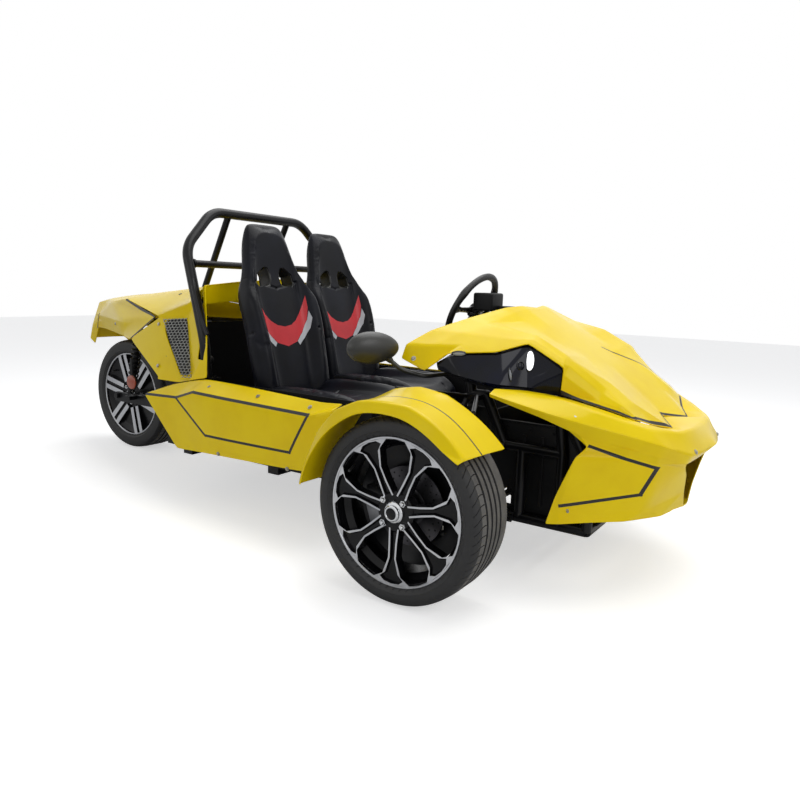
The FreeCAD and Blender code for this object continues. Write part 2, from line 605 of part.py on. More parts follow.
# ---------------------------------------------------------------- body panels, left halves
def beside_tub(rows, first):
    """Rows whose columns from the first one given have their Y from the tub's side outward."""
    return [row[:first] + tuple((x, TUB_HALF_WIDTH + y, z) for x, y, z in row[first:]) for row in rows]


# Bonnet, from the front axle. Columns: middle, crest, valley, brow, shoulder, side crease, lower edge.
BONNET = (
    ((70, 0, 924), (53, 100, 931), (33, 200, 925), (-23, 360, 890),
     (-103, 500, 845), (-149, 580, 797), (-155, 598, 750)),
    ((85, 0, 918), (75, 101, 922), (70, 202, 908), (45, 365, 874),
     (0, 470, 842), (-55, 560, 800), (-62, 600, 717)),
    ((125, 0, 893), (120, 105, 893), (115, 205, 878), (95, 365, 866),
     (60, 452, 833), (25, 520, 803), (6, 562, 779)),
    ((180, 0, 858), (180, 111, 857), (180, 212, 846), (165, 358, 852),
     (150, 420, 826), (142, 462, 800), (140, 482, 787)),
    ((240, 0, 820), (240, 116, 818), (240, 217, 812), (232, 348, 838),
     (226, 380, 829), (221, 395, 822), (218, 402, 817)),
    ((335, 0, 758), (335, 140, 757), (335, 205, 768), (338, 352, 782),
     (342, 392, 772), (348, 408, 759), (352, 416, 749)),
    ((352, 0, 746), (352, 150, 746), (352, 205, 757), (356, 350, 766),
     (358, 388, 752), (352, 412, 722), (342, 407, 660)),
    ((450, 0, 666), (452, 205, 690), (455, 250, 694), (455, 305, 684),
     (452, 330, 667), (450, 350, 645), (450, 361, 628)),
    ((515, 0, 612), (530, 195, 628), (535, 250, 636), (521, 325, 633),
     (516, 332, 627), (510, 338, 619), (506, 342, 613)),
    ((572, 0, 566), (640, 122, 546), (597, 220, 566), (572, 300, 589),
     (568, 310, 592), (565, 317, 594), (563, 323, 594)),
)

# Nose band, from its tip beside the front wheel round to the middle.
# Columns: seam to the bonnet, crown, outer fold, return below the fold.
BAND = (
    ((572, 0, 562), (705, 0, 553), (762, 0, 490), (742, 0, 468)),
    ((635, 122, 542), (705, 140, 556), (748, 115, 480), (728, 110, 458)),
    ((593, 220, 561), (680, 225, 554), (727, 222, 484), (710, 214, 450)),
    ((563, 323, 590), (615, 330, 569), (665, 332, 522), (648, 318, 482)),
    ((505, 344, 609), (560, 372, 590), (588, 402, 551), (572, 386, 508)),
    ((450, 363, 624), (468, 430, 625), (451, 482, 587), (436, 464, 545)),
    ((342, 409, 656), (345, 452, 658), (338, 542, 620), (326, 525, 598)),
    ((235, 454, 667), (240, 500, 665), (235, 575, 648), (228, 562, 632)),
    ((179, 552, 677), (181, 570, 676), (184, 602, 666), (180, 592, 655)),
)

# Side of the nose below the fold, front to back. Columns: under the fold, upper crease, lower crease,
# foot above the lip, edge of the lip.
CHEEK = (
    ((710, 214, 452), (702, 180, 430), (696, 120, 390), (684, 70, 320), (680, 40, 262)),
    ((648, 318, 484), (640, 300, 455), (625, 290, 345), (610, 270, 290), (640, 190, 254)),
    ((572, 386, 510), (560, 368, 475), (520, 390, 345), (500, 395, 290), (560, 330, 255)),
    ((436, 464, 547), (462, 432, 505), (440, 478, 480), (396, 497, 300), (400, 500, 262)),
    ((352, 502, 606), (456, 440, 508), (433, 484, 478), (384, 502, 350), (366, 522, 262)),
)

# Arch over a front wheel, from the front axle, front to back. Columns: inner edge, panel line,
# outer fold, outer edge, each as (along X, height).
FENDER_Y = (682.0, 770.0, 886.0, 904.0)
FENDER = (
    ((285, 520), (266, 518), (256, 517), (246, 508)),
    ((235, 569), (220, 563), (217, 563), (194, 537)),
    ((171, 615), (157, 617), (152, 614), (135, 580)),
    ((78, 662), (70, 653), (66, 648), (59, 613)),
    ((-20, 677), (-24, 656), (-29, 653), (-32, 621)),
    ((-118, 661), (-117, 646), (-118, 645), (-113, 609)),
    ((-212, 613), (-211, 605), (-212, 604), (-198, 562)),
    ((-285, 528), (-284, 522), (-285, 519), (-267, 495)),
    ((-337, 410), (-337, 408), (-341, 407), (-320, 404)),
    ((-352, 337), (-353, 337), (-356, 338), (-336, 341)),
)

# Side panel, Y from the tub's side. Columns: sill top, upper fold, lower fold, bottom edge, flange.
# The first rows are given from the front axle, the last two from the rear axle.
SIDE_FRONT = beside_tub((
    ((-412, 70, 560), (-415, 132, 540), (-420, 135, 420), (-430, 120, 300), (-430, 40, 296)),
    ((-501, 80, 556), (-535, 132, 508), (-540, 135, 400), (-560, 120, 285), (-560, 40, 281)),
), 0)
SIDE_REAR = beside_tub((
    ((1392, 33, 566), (1380, 116, 517), (1380, 120, 380), (1380, 106, 268), (1380, 25, 264)),
    ((1191, 33, 569), (1176, 102, 518), (1240, 105, 370), (1200, 92, 258), (1200, 15, 254)),
    ((1081, 30, 549), (1043, 82, 477), (1150, 88, 360), (1110, 84, 252), (1110, 10, 248)),
    ((960, 28, 522), (800, 62, 465), (905, 72, 375), (1047, 80, 248), (1047, 10, 244)),
), 0)

# Rear quarter and its half of the deck, from the rear axle.
# Columns: middle of the deck, top, shoulder, vent top, then vent foot and fold from the tub's side.
QUARTER = beside_tub((
    ((1095, 1, 1003), (1092, 280, 986), (1086, 465, 966), (1125, 492, 817), (1160, 4, 700), (1190, 32, 574)),
    ((955, 1, 984), (955, 250, 968), (975, 460, 887), (955, 452, 821), (1075, 14, 562), (1080, 29, 554)),
    ((750, 1, 960), (750, 240, 950), (742, 455, 818), (750, 452, 807), (995, 12, 556), (990, 21, 534)),
    ((280, 1, 915), (280, 150, 906), (281, 300, 881), (485, 425, 690), (834, 10, 545), (838, 15, 532)),
), 4)

# Front face of the deck, from the rear axle. Rows: foot, top.
FASCIA = (
    ((1088, 1, 912), (1086, 280, 898), (1080, 452, 884)),
    ((1095, 1, 1003), (1092, 280, 986), (1086, 465, 966)),
)

# Tail, from the rear axle. Columns: middle, edge of the deck, shoulder, side, lower edge.
TAIL = (
    ((275, 0, 914), (275, 150, 905), (274, 297, 880), (722, 448, 811), (474, 421, 685)),
    ((60, 0, 900), (60, 110, 893), (60, 235, 856), (330, 372, 768), (300, 350, 694)),
    ((-200, 0, 868), (-200, 80, 861), (-182, 158, 772), (-160, 162, 735), (-140, 160, 697)),
    ((-330, 0, 846), (-330, 60, 838), (-262, 132, 768), (-250, 138, 732), (-236, 138, 694)),
)

# Drop of the tail behind the rear wheel, from the rear axle. Columns: middle, corner, forward edge.
TAIL_DROP = (
    ((-326, 0, 844), (-322, 62, 834), (-262, 132, 766), (-185, 157, 768)),
    ((-352, 0, 740), (-350, 70, 740), (-318, 124, 690), (-225, 142, 690)),
    ((-372, 0, 622), (-370, 70, 622), (-352, 116, 622), (-298, 120, 594)),
)


def placed(rows, where):
    """Rows of points with their X taken from one of the axles."""
    return [[(where(p[0]), p[1], p[2]) for p in row] for row in rows]


def bonnet():
    """One-piece bonnet with its two brows and the wings over the front wheels."""
    return panel(whole(placed(BONNET, front)), WALL, (0, 0, 1))


def front_bumper():
    """Nose band, side cheeks and splitter lip as one moulding."""
    band_rows = placed(BAND, front)
    round_nose = [[mirrored(p) for p in row] for row in reversed(band_rows[1:])] + band_rows
    band = panel(round_nose, WALL, (0, 0, 1))
    cheek = panel(placed(CHEEK, front), WALL, (0, 1, 0))
    lip_edge = [(row[-1][0], row[-1][1]) for row in placed(CHEEK, front)]
    outline = [(front(684), 0)] + lip_edge + [(front(420), 440), (front(560), 0)]
    points = [Vector(x, y, LIP_Z) for x, y in outline]
    lip = Part.Face(Part.makePolygon(points + points[:1])).extrude(Vector(0, 0, 6))
    return fuse([band, cheek, flip(cheek), lip, flip(lip)])


def fender():
    """Arch over the left front wheel."""
    rows = [[(front(x), y, z) for (x, z), y in zip(row, FENDER_Y)] for row in FENDER]
    return panel(rows, WALL, (0, 0, 1))


def side_skin(wall):
    """Left side panel from the front wheel to the engine bay."""
    return panel(placed(SIDE_FRONT, front) + placed(SIDE_REAR, rear), wall, (0, 1, 0))


def rear_quarter():
    """Left quarter panel and half deck, with the vent and the hoop's ways left open."""
    skin = panel(placed(QUARTER, rear), WALL, (0, 1, 0.4), skip=((2, 2),))
    skin = skin.fuse(panel(placed(FASCIA, rear), WALL, (1, 0, 0))).removeSplitter()
    frame = [QUARTER[1][3], QUARTER[1][4], QUARTER[2][4], QUARTER[2][3]]
    middle = [sum(p[k] for p in frame) / 4.0 for k in (0, 2)]
    vent = [Vector(rear(middle[0] + 0.94 * (p[0] - middle[0])), 380, middle[1] + 0.94 * (p[2] - middle[1]))
            for p in frame]
    skin = skin.cut(Part.Face(Part.makePolygon(vent + vent[:1])).extrude(Vector(0, 300, 0)))
    foot, top = hoop_leg()[1:3]
    half = HOOP_TUBE / 2.0 + 3
    low_notch = box(foot[0] - half, foot[0] + half, foot[1] - 30, foot[1] + 60,
                    TUB_TOP + 85, TUB_TOP + 155)
    skin = skin.cut(prism(foot, top, 2 * half)).cut(low_notch)
    return skin.cut(prism(*hoop_stay(), 40.0))


def vent_mesh():
    """Grille of the left vent, just behind its opening."""
    corners = [QUARTER[i][j] for i, j in ((1, 3), (1, 4), (2, 4), (2, 3))]
    points = [(rear(x), y - WALL - FIT_GAP, z) for x, y, z in corners]
    return panel([[points[0], points[1]], [points[3], points[2]]], 2.0, (0, 1, 0))


def tail():
    """Tail cover over the rear wheel."""
    cover = panel(whole(placed(TAIL, rear)), WALL, (0, 0, 1))
    drop = panel(whole(placed(TAIL_DROP, rear)), WALL, (-1, 0, 0))
    return cover.fuse(drop).removeSplitter()


def headlamp():
    """Dark lamp unit between the bonnet's wing and the nose band, left side."""
    upper = ((346.5, 406.5, 740), (218, 395, 809), (140, 474, 778), (6, 552, 770), (-40, 560, 742))
    lower = ((336.5, 397.5, 664), (238, 444, 674), (176, 540, 686), (60, 552, 700), (-36, 560, 722))
    rows = [[(front(x), y, z) for x, y, z in line] for line in (upper, lower)]
    return panel(rows, 25.0, (0, 1, 0))


def mirror():
    """Left door mirror on its stem."""
    x, y, z = front(-196), 705, 787
    head = Part.makeSphere(1.0)
    matrix = FreeCAD.Matrix()
    matrix.scale(36, 98, 55)
    head = head.transformGeometry(matrix)
    head.rotate(Vector(0, 0, 0), Vector(0, 0, 1), MIRROR_SWEEP)
    head.translate(Vector(x, y, z))
    stem = tube([(x + 10, y - 50, z - 25), (front(-140), 617, 712), (front(-85), 560, 692),
                 (front(-45), SIDE_TUBE_Y + FRAME_TUBE / 2.0 + FIT_GAP, 690)], 16)
    return fuse([head, stem])


def radiator():
    """Radiator block with its side tanks behind the nose."""
    half = SIDE_TUBE_Y - FRAME_TUBE / 2.0 - FIT_GAP
    core = box(front(356), front(392), -half + 20, half - 20, 225, 545)
    tanks = both(box(front(352), front(398), half - 30, half, LOWER_TUBE_Z - 10, 552))
    return fuse([core] + tanks)


def engine():
    """Engine and gearbox as one plain block with its cylinder."""
    block = box(rear(PIVOT_X + 75), rear(TUB_REAR - 45), -190, 190, LOWER_TUBE_Z + 20, 480)
    cylinder = box(rear(PIVOT_X + 110), rear(TUB_REAR - 90), -80, 80, 470, 660)
    mounts = both(box(rear(PIVOT_X + 130), rear(PIVOT_X + 170), 180, 262,
                      LOWER_TUBE_Z + 16.3, LOWER_TUBE_Z + 40))
    return fuse([block, cylinder] + mounts)


def exhaust():
    """Silencer on the left with its pipe from the engine."""
    can = rod((rear(420), 300, 400), (rear(60), 300, 470), 120)
    pipe = tube([(rear(PIVOT_X + 150), 190 + FIT_GAP, 420), (rear(PIVOT_X + 150), 240, 420),
                 (rear(PIVOT_X + 60), 296, 400), (rear(400), 300, 402)], 42)
    return fuse([can, pipe])


def make():
    """Every node of the vehicle by name."""
    nodes = {
        "main_frame": main_frame(), "front_frame": front_frame(), "rear_frame": rear_frame(),
        "roll_hoop": roll_hoop(), "floor_tub": floor_tub(), "bonnet": bonnet(),
        "front_bumper": front_bumper(), "tail_cover": tail(), "dashboard": dashboard(),
        "steering_column": steering_column(), "steering_wheel": steering_wheel(),
        "engine_block": engine(), "exhaust": exhaust(), "radiator": radiator(),
        "swingarm": swingarm(), "pedals": pedals(),
        "seat_left": seat(SEAT_Y, SEAT_SLIDE), "seat_right": seat(-SEAT_Y, 0),
    }
    pairs = {
        "headlamp": headlamp(), "fender": fender(), "side_panel": side_skin(WALL),
        "rear_quarter": rear_quarter(), "mirror": mirror(), "knuckle": knuckle(),
        "tie_rod": tie_rod(),
    }
    for name, shape in pairs.items():
        nodes[name + "_left"] = shape
        nodes[name + "_right"] = flip(shape)
    damper = coil_over((front(0), SHOCK_FOOT_Y, BALL_JOINT_LOW + SHOCK_SEAT + FIT_GAP + 14),
                       (front(0), SHOCK_HEAD_Y, TOWER_Z - 10 - FIT_GAP - 14), 62, 36)
    nodes["front_shocks"] = Part.makeCompound(both(damper))
    damper = coil_over((rear(150), SWINGARM_Y + 35, PIVOT_Z + 16 + FIT_GAP + 14),
                       (rear(300), 235, BAY_TOP - 16 - FIT_GAP - 14), 58, 34)
    nodes["rear_shocks"] = Part.makeCompound(both(damper))
    nodes["front_arms"] = Part.makeCompound(control_arms() + [flip(a) for a in control_arms()])
    nodes["vent_mesh"] = Part.makeCompound(both(vent_mesh()))
    nodes["fender_stays"] = Part.makeCompound(fender_stays())
    nodes["steering_rack"] = rod((front(RACK_X), -RACK_HALF, RACK_Z), (front(RACK_X), RACK_HALF, RACK_Z),
                                 2 * RACK_RADIUS)
    wheels = {"front_left": front_wheel(1), "front_right": front_wheel(-1), "rear": rear_wheel()}
    for place, parts in wheels.items():
        for name, shape in parts.items():
            nodes[name + "_" + place] = shape
    return nodes


def tie_rod():
    """Left tie rod between the rack's end and the steering arm."""
    y0, y1 = RACK_HALF + 6, KINGPIN_Y
    x = front(RACK_X)
    bar = rod((x, y0, RACK_Z), (x, y1 - 10, RACK_Z), 16)
    boot = rod((x, y0, RACK_Z), (x, y0 + 60, RACK_Z), 34)
    eye = Part.makeCylinder(14, 14, Vector(x, y1, RACK_Z - 7))
    hole = Part.makeCylinder(5 + PIN_CLEARANCE, 40, Vector(x, y1, RACK_Z - 20))
    return fuse([bar, boot, eye]).cut(hole)


os.makedirs("parts", exist_ok=True)
for node, shape in make().items():
    shape.exportStep("parts/" + node + ".step")
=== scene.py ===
"""Looks of a three-wheeled open roadster: gelcoat panels, tube frame, two bucket seats and alloy wheels.

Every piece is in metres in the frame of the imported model: +X forward, +Y left, +Z up, ground at zero.
Places given as front(x, y, z) or rear(x, y, z) are millimetres from the front or the rear axle.
"""
import logging
import math
from dataclasses import dataclass
from enum import Enum
from typing import Iterable, Sequence

import bmesh
import bpy
from mathutils import Matrix, Vector
from mathutils.bvhtree import BVHTree


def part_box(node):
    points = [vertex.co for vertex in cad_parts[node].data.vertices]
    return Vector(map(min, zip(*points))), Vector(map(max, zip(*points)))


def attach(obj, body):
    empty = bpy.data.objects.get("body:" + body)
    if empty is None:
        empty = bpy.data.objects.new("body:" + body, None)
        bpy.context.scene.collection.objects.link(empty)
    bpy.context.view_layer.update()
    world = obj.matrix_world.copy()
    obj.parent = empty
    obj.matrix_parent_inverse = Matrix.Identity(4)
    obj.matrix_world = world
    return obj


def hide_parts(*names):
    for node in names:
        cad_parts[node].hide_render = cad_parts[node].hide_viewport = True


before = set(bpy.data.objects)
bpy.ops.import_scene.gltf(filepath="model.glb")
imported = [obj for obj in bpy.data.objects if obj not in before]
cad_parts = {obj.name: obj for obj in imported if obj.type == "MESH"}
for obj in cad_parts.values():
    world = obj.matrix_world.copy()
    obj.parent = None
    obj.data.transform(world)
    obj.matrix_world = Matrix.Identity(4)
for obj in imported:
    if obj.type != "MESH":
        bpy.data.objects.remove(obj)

Mesh = bmesh.types.BMesh
Verts = list[bmesh.types.BMVert]

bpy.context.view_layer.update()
LOG = logging.getLogger("roadster")
MM = 0.001
# Vertices closer than this count as one, in merges and cuts.
MERGE = 0.00002
# Skin takes no line where the cosine between its normal and the view is below this.
GRAZING = 0.12


def mm(x: float, y: float, z: float) -> Vector:
    """Vector given in millimetres."""
    return Vector((x, y, z)) * MM


def middle(node: str) -> Vector:
    """Middle of a CAD node's box."""
    low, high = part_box(node)
    return (low + high) / 2.0


FRONT_AXLE = middle("disc_front_left").x
REAR_AXLE = middle("rim_rear").x


def front(x: float, y: float, z: float) -> Vector:
    """Point given in millimetres from the front axle, the middle plane and the ground."""
    return Vector((FRONT_AXLE + x * MM, y * MM, z * MM))


def rear(x: float, y: float, z: float) -> Vector:
    """Point given in millimetres from the rear axle, the middle plane and the ground."""
    return Vector((REAR_AXLE + x * MM, y * MM, z * MM))


class Side(Enum):
    """Side of the vehicle, with the sign of its Y."""

    LEFT = 1
    RIGHT = -1

    @property
    def word(self) -> str:
        """Lower-case name, as the nodes have it."""
        return self.name.lower()

    def flip(self, point: Vector) -> Vector:
        """The point of the left half, taken to this side."""
        return Vector((point.x, point.y * self.value, point.z))


# ------------------------------------------------------------------ finishes
def linear(code: str) -> tuple[float, float, float, float]:
    """Linear colour from an sRGB hex code.

    Args:
        code: six hex digits.

    Returns:
        Red, green, blue and alpha.
    """
    parts = [int(code[i:i + 2], 16) / 255.0 for i in (0, 2, 4)]
    curve = [c / 12.92 if c <= 0.04045 else ((c + 0.055) / 1.055) ** 2.4 for c in parts]
    return (curve[0], curve[1], curve[2], 1.0)


def add_node(material: bpy.types.ID, kind: str, values: dict | None = None, links: dict | None = None,
             **settings: object) -> bpy.types.Node:
    """Adds a node with its settings, its values and its links.

    Args:
        material: material or world that owns the tree.
        kind: node type without its ShaderNode prefix.
        values: socket name or number to value.
        links: socket name or number to the output that feeds it.
        **settings: node properties.

    Returns:
        The node.
    """
    node = material.node_tree.nodes.new("ShaderNode" + kind)
    for key, value in settings.items():
        setattr(node, key, value)
    for key, value in (values or {}).items():
        node.inputs[key].default_value = value
    for key, source in (links or {}).items():
        material.node_tree.links.new(source, node.inputs[key])
    return node


class Texture(Enum):
    """How a surface was made, which decides its pattern."""

    ORANGE_PEEL = "sprayed or moulded gloss with a faint long wave"
    FINE_GRAIN = "moulded or powder-coated grain"
    LEATHER = "cells of vinyl or leather grain"
    BRUSHED = "lines along X left by a brush or belt"
    TURNED = "rings left by a lathe around a wheel's axle"
    SMOOTH = "polished, with only faint smears"


@dataclass(frozen=True)
class Finish:
    """A real surface: its colours, gloss and pattern.

    Pattern sizes are in millimetres. The tint is a second colour that drifts in over patch_mm.
    """

    name: str
    colour: str
    tint: str
    texture: Texture
    roughness: float
    spread: float = 0.08
    metallic: float = 0.0
    ior: float = 1.5
    coat: float = 0.0
    specular: float = 0.5
    grain_mm: float = 1.0
    relief_mm: float = 0.02
    patch_mm: float = 180.0
    glow: float = 0.0
    slot: str = ""

    def pattern(self, material: bpy.types.Material, place: bpy.types.NodeSocket) -> bpy.types.NodeSocket:
        """Height of the surface pattern, from 0 to 1."""
        scale = 1.0 / (self.grain_mm * MM)
        if self.texture is Texture.LEATHER:
            cells = add_node(material, "TexVoronoi", {"Scale": scale, "Randomness": 0.9}, {"Vector": place},
                             feature="DISTANCE_TO_EDGE")
            cell = add_node(material, "MapRange", {"From Max": 0.25}, {"Value": cells.outputs["Distance"]})
            return cell.outputs[0]
        if self.texture is Texture.BRUSHED:
            place = add_node(material, "Mapping", {"Scale": (0.04, 1.0, 1.0)}, {"Vector": place}).outputs[0]
        if self.texture is Texture.TURNED:
            rings = add_node(material, "TexWave", {"Scale": scale / 6.0, "Distortion": 0.6, "Detail": 2.0},
                             {"Vector": place}, wave_type="RINGS", rings_direction="Y")
            return rings.outputs["Fac"]
        detail = 1.0 if self.texture is Texture.ORANGE_PEEL else 4.0
        noise = add_node(material, "TexNoise", {"Scale": scale, "Detail": detail}, {"Vector": place})
        return noise.outputs["Fac"]

    def material(self) -> bpy.types.Material:
        """The material, built once and then shared."""
        name = "finish_" + self.name
        found = bpy.data.materials.get(name)
        if found:
            return found
        material = bpy.data.materials.new(name)
        material.use_nodes = True
        tree = material.node_tree
        shader = tree.nodes["Principled BSDF"]
        place = add_node(material, "TexCoord").outputs["Object"]
        patch = add_node(material, "TexNoise",
                         {"Scale": 1.0 / (self.patch_mm * MM), "Detail": 5.0, "Roughness": 0.6},
                         {"Vector": place})
        drift = add_node(material, "MapRange", {"From Min": 0.42, "From Max": 0.7},
                         {"Value": patch.outputs["Fac"]})
        blend = add_node(material, "Mix", {6: linear(self.colour), 7: linear(self.tint)},
                         {0: drift.outputs[0]}, data_type="RGBA")
        tree.links.new(blend.outputs[2], shader.inputs["Base Color"])
        gloss = add_node(material, "MapRange", {"To Min": max(0.02, self.roughness - self.spread / 2),
                                                "To Max": min(1.0, self.roughness + self.spread / 2)},
                         {"Value": patch.outputs["Fac"]})
        tree.links.new(gloss.outputs[0], shader.inputs["Roughness"])
        if self.relief_mm > 0:
            height = self.pattern(material, place)
            bump = add_node(material, "Bump", {"Strength": 0.6, "Distance": self.relief_mm * MM},
                            {"Height": height})
            tree.links.new(bump.outputs[0], shader.inputs["Normal"])
        fixed = {"Metallic": self.metallic, "IOR": self.ior, "Coat Weight": self.coat, "Coat Roughness": 0.04,
                 "Specular IOR Level": self.specular}
        if self.glow:
            fixed.update({"Emission Color": linear(self.colour), "Emission Strength": self.glow})
        for key, value in fixed.items():
            shader.inputs[key].default_value = value
        return material


# Glass-fibre panels in coloured gelcoat: a soft gloss with a slight wave from the mould.
GELCOAT = Finish("yellow_gelcoat", "FBDC04", "F4D203", Texture.ORANGE_PEEL, 0.26, 0.06, coat=0.08,
                 specular=0.13, grain_mm=9.0, relief_mm=0.02, slot="yellow_gelcoat")
# Black vinyl tape and rubber in the joints: dull against the gloss of the panels.
JOINT_TAPE = Finish("black_joint_tape", "0E0E0F", "161617", Texture.FINE_GRAIN, 0.5, grain_mm=2.0,
                    slot="tub_plastic")
# Powder coat on steel tube: semi-gloss with a fine grain.
POWDER_COAT = Finish("powder_coat", "0F0F11", "17171A", Texture.FINE_GRAIN, 0.3, 0.14, specular=0.25,
                     grain_mm=1.6, relief_mm=0.05, slot="frame_paint")
# ABS moulding: satin black with a light spark-eroded grain.
ABS = Finish("satin_abs", "101011", "171718", Texture.FINE_GRAIN, 0.5, 0.12, specular=0.18, grain_mm=1.2,
             relief_mm=0.06, slot="tub_plastic")
# Glossier grey-black ABS: mirror shells, the rear faces of the seat backs and their slot bezels.
SHELL_ABS = Finish("gloss_abs_shell", "252523", "2E2E2A", Texture.FINE_GRAIN, 0.36, 0.06, grain_mm=1.5,
                   relief_mm=0.03, slot="tub_plastic")
# Polycarbonate lens over a black lamp housing: smooth and dark.
LENS = Finish("dark_polycarbonate", "07090F", "0C1026", Texture.SMOOTH, 0.08, 0.03, ior=1.58,
              specular=0.16, grain_mm=40.0, relief_mm=0.0, slot="lamp_lens")
# Clear indicator lens with a chromed bowl behind it, drawn as one pale surface: the pale colour is painted
# reflection of the bowl.
LENS_PAINTED_REFLECTION = Finish("clear_lens_painted_reflection", "C9CDD0", "AEB3B8", Texture.SMOOTH, 0.08, 0.03, ior=1.58,
                    relief_mm=0.0, slot="lamp_lens")
# Lit diode strip behind its diffuser.
LIT_DIODE = Finish("lit_diode", "FFFFFF", "F4F8FF", Texture.SMOOTH, 0.2, relief_mm=0.0, glow=1.6,
                   slot="lamp_lens")
# Unlit strip, and the dark bezels around the lamps.
DIM_DIODE = Finish("dim_diode", "8E9196", "7A7D83", Texture.SMOOTH, 0.25, relief_mm=0.0, slot="lamp_lens")
DARK_RING = Finish("lamp_bezel", "2A2B2E", "202124", Texture.SMOOTH, 0.25, specular=0.4, relief_mm=0.0,
                   slot="lamp_lens")
# Amber reflector: moulded acrylic prisms.
AMBER = Finish("amber_acrylic", "B4471A", "8E3413", Texture.LEATHER, 0.18, coat=0.6, grain_mm=4.0,
               relief_mm=0.2, slot="lamp_lens")
# Gloss black wheel enamel.
WHEEL_ENAMEL = Finish("wheel_enamel", "0B0B0D", "121215", Texture.ORANGE_PEEL, 0.24, 0.08, specular=0.22,
                      grain_mm=5.0, relief_mm=0.02, slot="wheel_alloy")
# Aluminium faced on a lathe: fine rings that streak the light.
MACHINED = Finish("machined_aluminium", "C9CACD", "AEB0B5", Texture.TURNED, 0.3, 0.1, 1.0,
                  grain_mm=1.5, relief_mm=0.01, slot="machined_alloy")
# Cast aluminium: sand grain, dull grey.
CAST = Finish("cast_aluminium", "8B8C8F", "6C6D70", Texture.FINE_GRAIN, 0.55, 0.15, 1.0,
              grain_mm=1.8, relief_mm=0.15, slot="cast_alloy")
# Chrome plate.
CHROME = Finish("chrome_plate", "D8D9DB", "C6C8CB", Texture.SMOOTH, 0.1, 0.05, 1.0, relief_mm=0.0,
                slot="machined_alloy")
# Zinc-plated steel: screws, bolts, slide rails, stitching, tie rods and steering column.
ZINC = Finish("zinc_plate", "A9A79F", "8A877D", Texture.FINE_GRAIN, 0.35, 0.1, 1.0, grain_mm=1.0,
              relief_mm=0.03, slot="machined_alloy")
# Turned cast iron brake disc.
DISC_IRON = Finish("turned_iron", "4E4D50", "3E3D40", Texture.TURNED, 0.38, 0.1, 1.0, grain_mm=1.2,
                   relief_mm=0.03, slot="disc_iron")
# Tyre compound: dull, with a grey bloom and fine moulding grain.
RUBBER = Finish("tyre_compound", "1D1D1E", "272727", Texture.FINE_GRAIN, 0.62, 0.12, grain_mm=1.5,
                relief_mm=0.12, patch_mm=60.0, slot="tyre_rubber")
# The running face is scuffed paler by the road, and painted paler still as painted light where the light from the
# front falls on it.
SCUFFED_TREAD_PAINTED_LIGHT = Finish("scuffed_tread_painted_light", "64625F", "504E4C", Texture.FINE_GRAIN, 0.75, 0.1, grain_mm=1.8,
                      relief_mm=0.15, patch_mm=50.0, slot="tyre_rubber")
# Moulded bellows and grommets.
BOOT_RUBBER = Finish("boot_rubber", "151515", "1E1E1E", Texture.FINE_GRAIN, 0.6, grain_mm=1.5, relief_mm=0.08,
                     slot="tub_plastic")
# Seat vinyl: leather grain with a soft gloss.
VINYL = Finish("black_vinyl", "0E0F14", "151720", Texture.LEATHER, 0.33, 0.08, specular=0.14,
               grain_mm=2.2, relief_mm=0.07, slot="seat_vinyl")
RED_VINYL = Finish("red_vinyl", "D8202C", "C41A26", Texture.LEATHER, 0.4, 0.08, coat=0.1, grain_mm=2.2,
                   relief_mm=0.07, slot="seat_vinyl")
WHITE_VINYL = Finish("white_vinyl", "C9CDD2", "B6BAC0", Texture.LEATHER, 0.4, 0.08, coat=0.1, grain_mm=2.2,
                     relief_mm=0.07, slot="seat_vinyl")
# Steering wheel leather.
GRIP_LEATHER = Finish("grip_leather", "141414", "1D1D1D", Texture.LEATHER, 0.45, 0.1, grain_mm=1.6,
                      relief_mm=0.08, slot="wheel_leather")
# Brushed stainless silencer.
STAINLESS = Finish("brushed_stainless", "A8A49C", "8C8880", Texture.BRUSHED, 0.3, 0.12, 1.0, grain_mm=0.8,
                   relief_mm=0.03, slot="exhaust_steel")
# Front coil springs in blue enamel.
SPRING_ENAMEL = Finish("spring_enamel", "5A6FB0", "8C9BC8", Texture.ORANGE_PEEL, 0.25, 0.06, coat=0.6,
                       grain_mm=3.0, relief_mm=0.02, slot="spring_paint")
# Expanded steel in the vents.
EXPANDED_STEEL = Finish("expanded_steel", "9FA09C", "84857F", Texture.FINE_GRAIN, 0.42, 0.1, 1.0,
                        grain_mm=1.0, relief_mm=0.03, slot="mesh_steel")
# Black coated radiator fins, 6 mm pitch so that they show.
FINS = Finish("coated_fins", "0D0D0E", "161617", Texture.BRUSHED, 0.5, 0.1, 0.3, grain_mm=6.0, relief_mm=1.2,
              slot="radiator_alloy")
# Dark display glass.
DISPLAY = Finish("display_glass", "08090B", "0C0E12", Texture.SMOOTH, 0.08, 0.02, coat=1.0, relief_mm=0.0,
                 slot="lamp_lens")


# ------------------------------------------------------------------ mesh helpers
def publish(name: str, bm: Mesh, finishes: Sequence[Finish], body: str = "root",
            stands_for: Sequence[str] = (), fold: float = 34.0) -> bpy.types.Object:
    """Makes an object of a finished mesh and lets it ride on a body.

    Args:
        name: name of the piece.
        bm: its mesh, which is freed.
        finishes: one finish for each material index.
        body: CAD body that it moves with.
        stands_for: CAD nodes that it replaces.
        fold: edges sharper than this many degrees stay hard.

    Returns:
        The object.
    """
    bm.normal_update()
    for face in bm.faces:
        face.smooth = True
    for edge in bm.edges:
        edge.smooth = edge.calc_face_angle(0.0) < math.radians(fold)
    mesh = bpy.data.meshes.new(name)
    bm.to_mesh(mesh)
    bm.free()
    for finish in finishes:
        mesh.materials.append(finish.material())
    piece = bpy.data.objects.new(name, mesh)
    bpy.context.scene.collection.objects.link(piece)
    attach(piece, body)
    if stands_for:
        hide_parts(*stands_for)
    LOG.info("%s: %d faces on %s", name, len(mesh.polygons), body)
    return piece


def everything(bm: Mesh) -> list:
    """All vertices, edges and faces of a mesh."""
    return bm.verts[:] + bm.edges[:] + bm.faces[:]


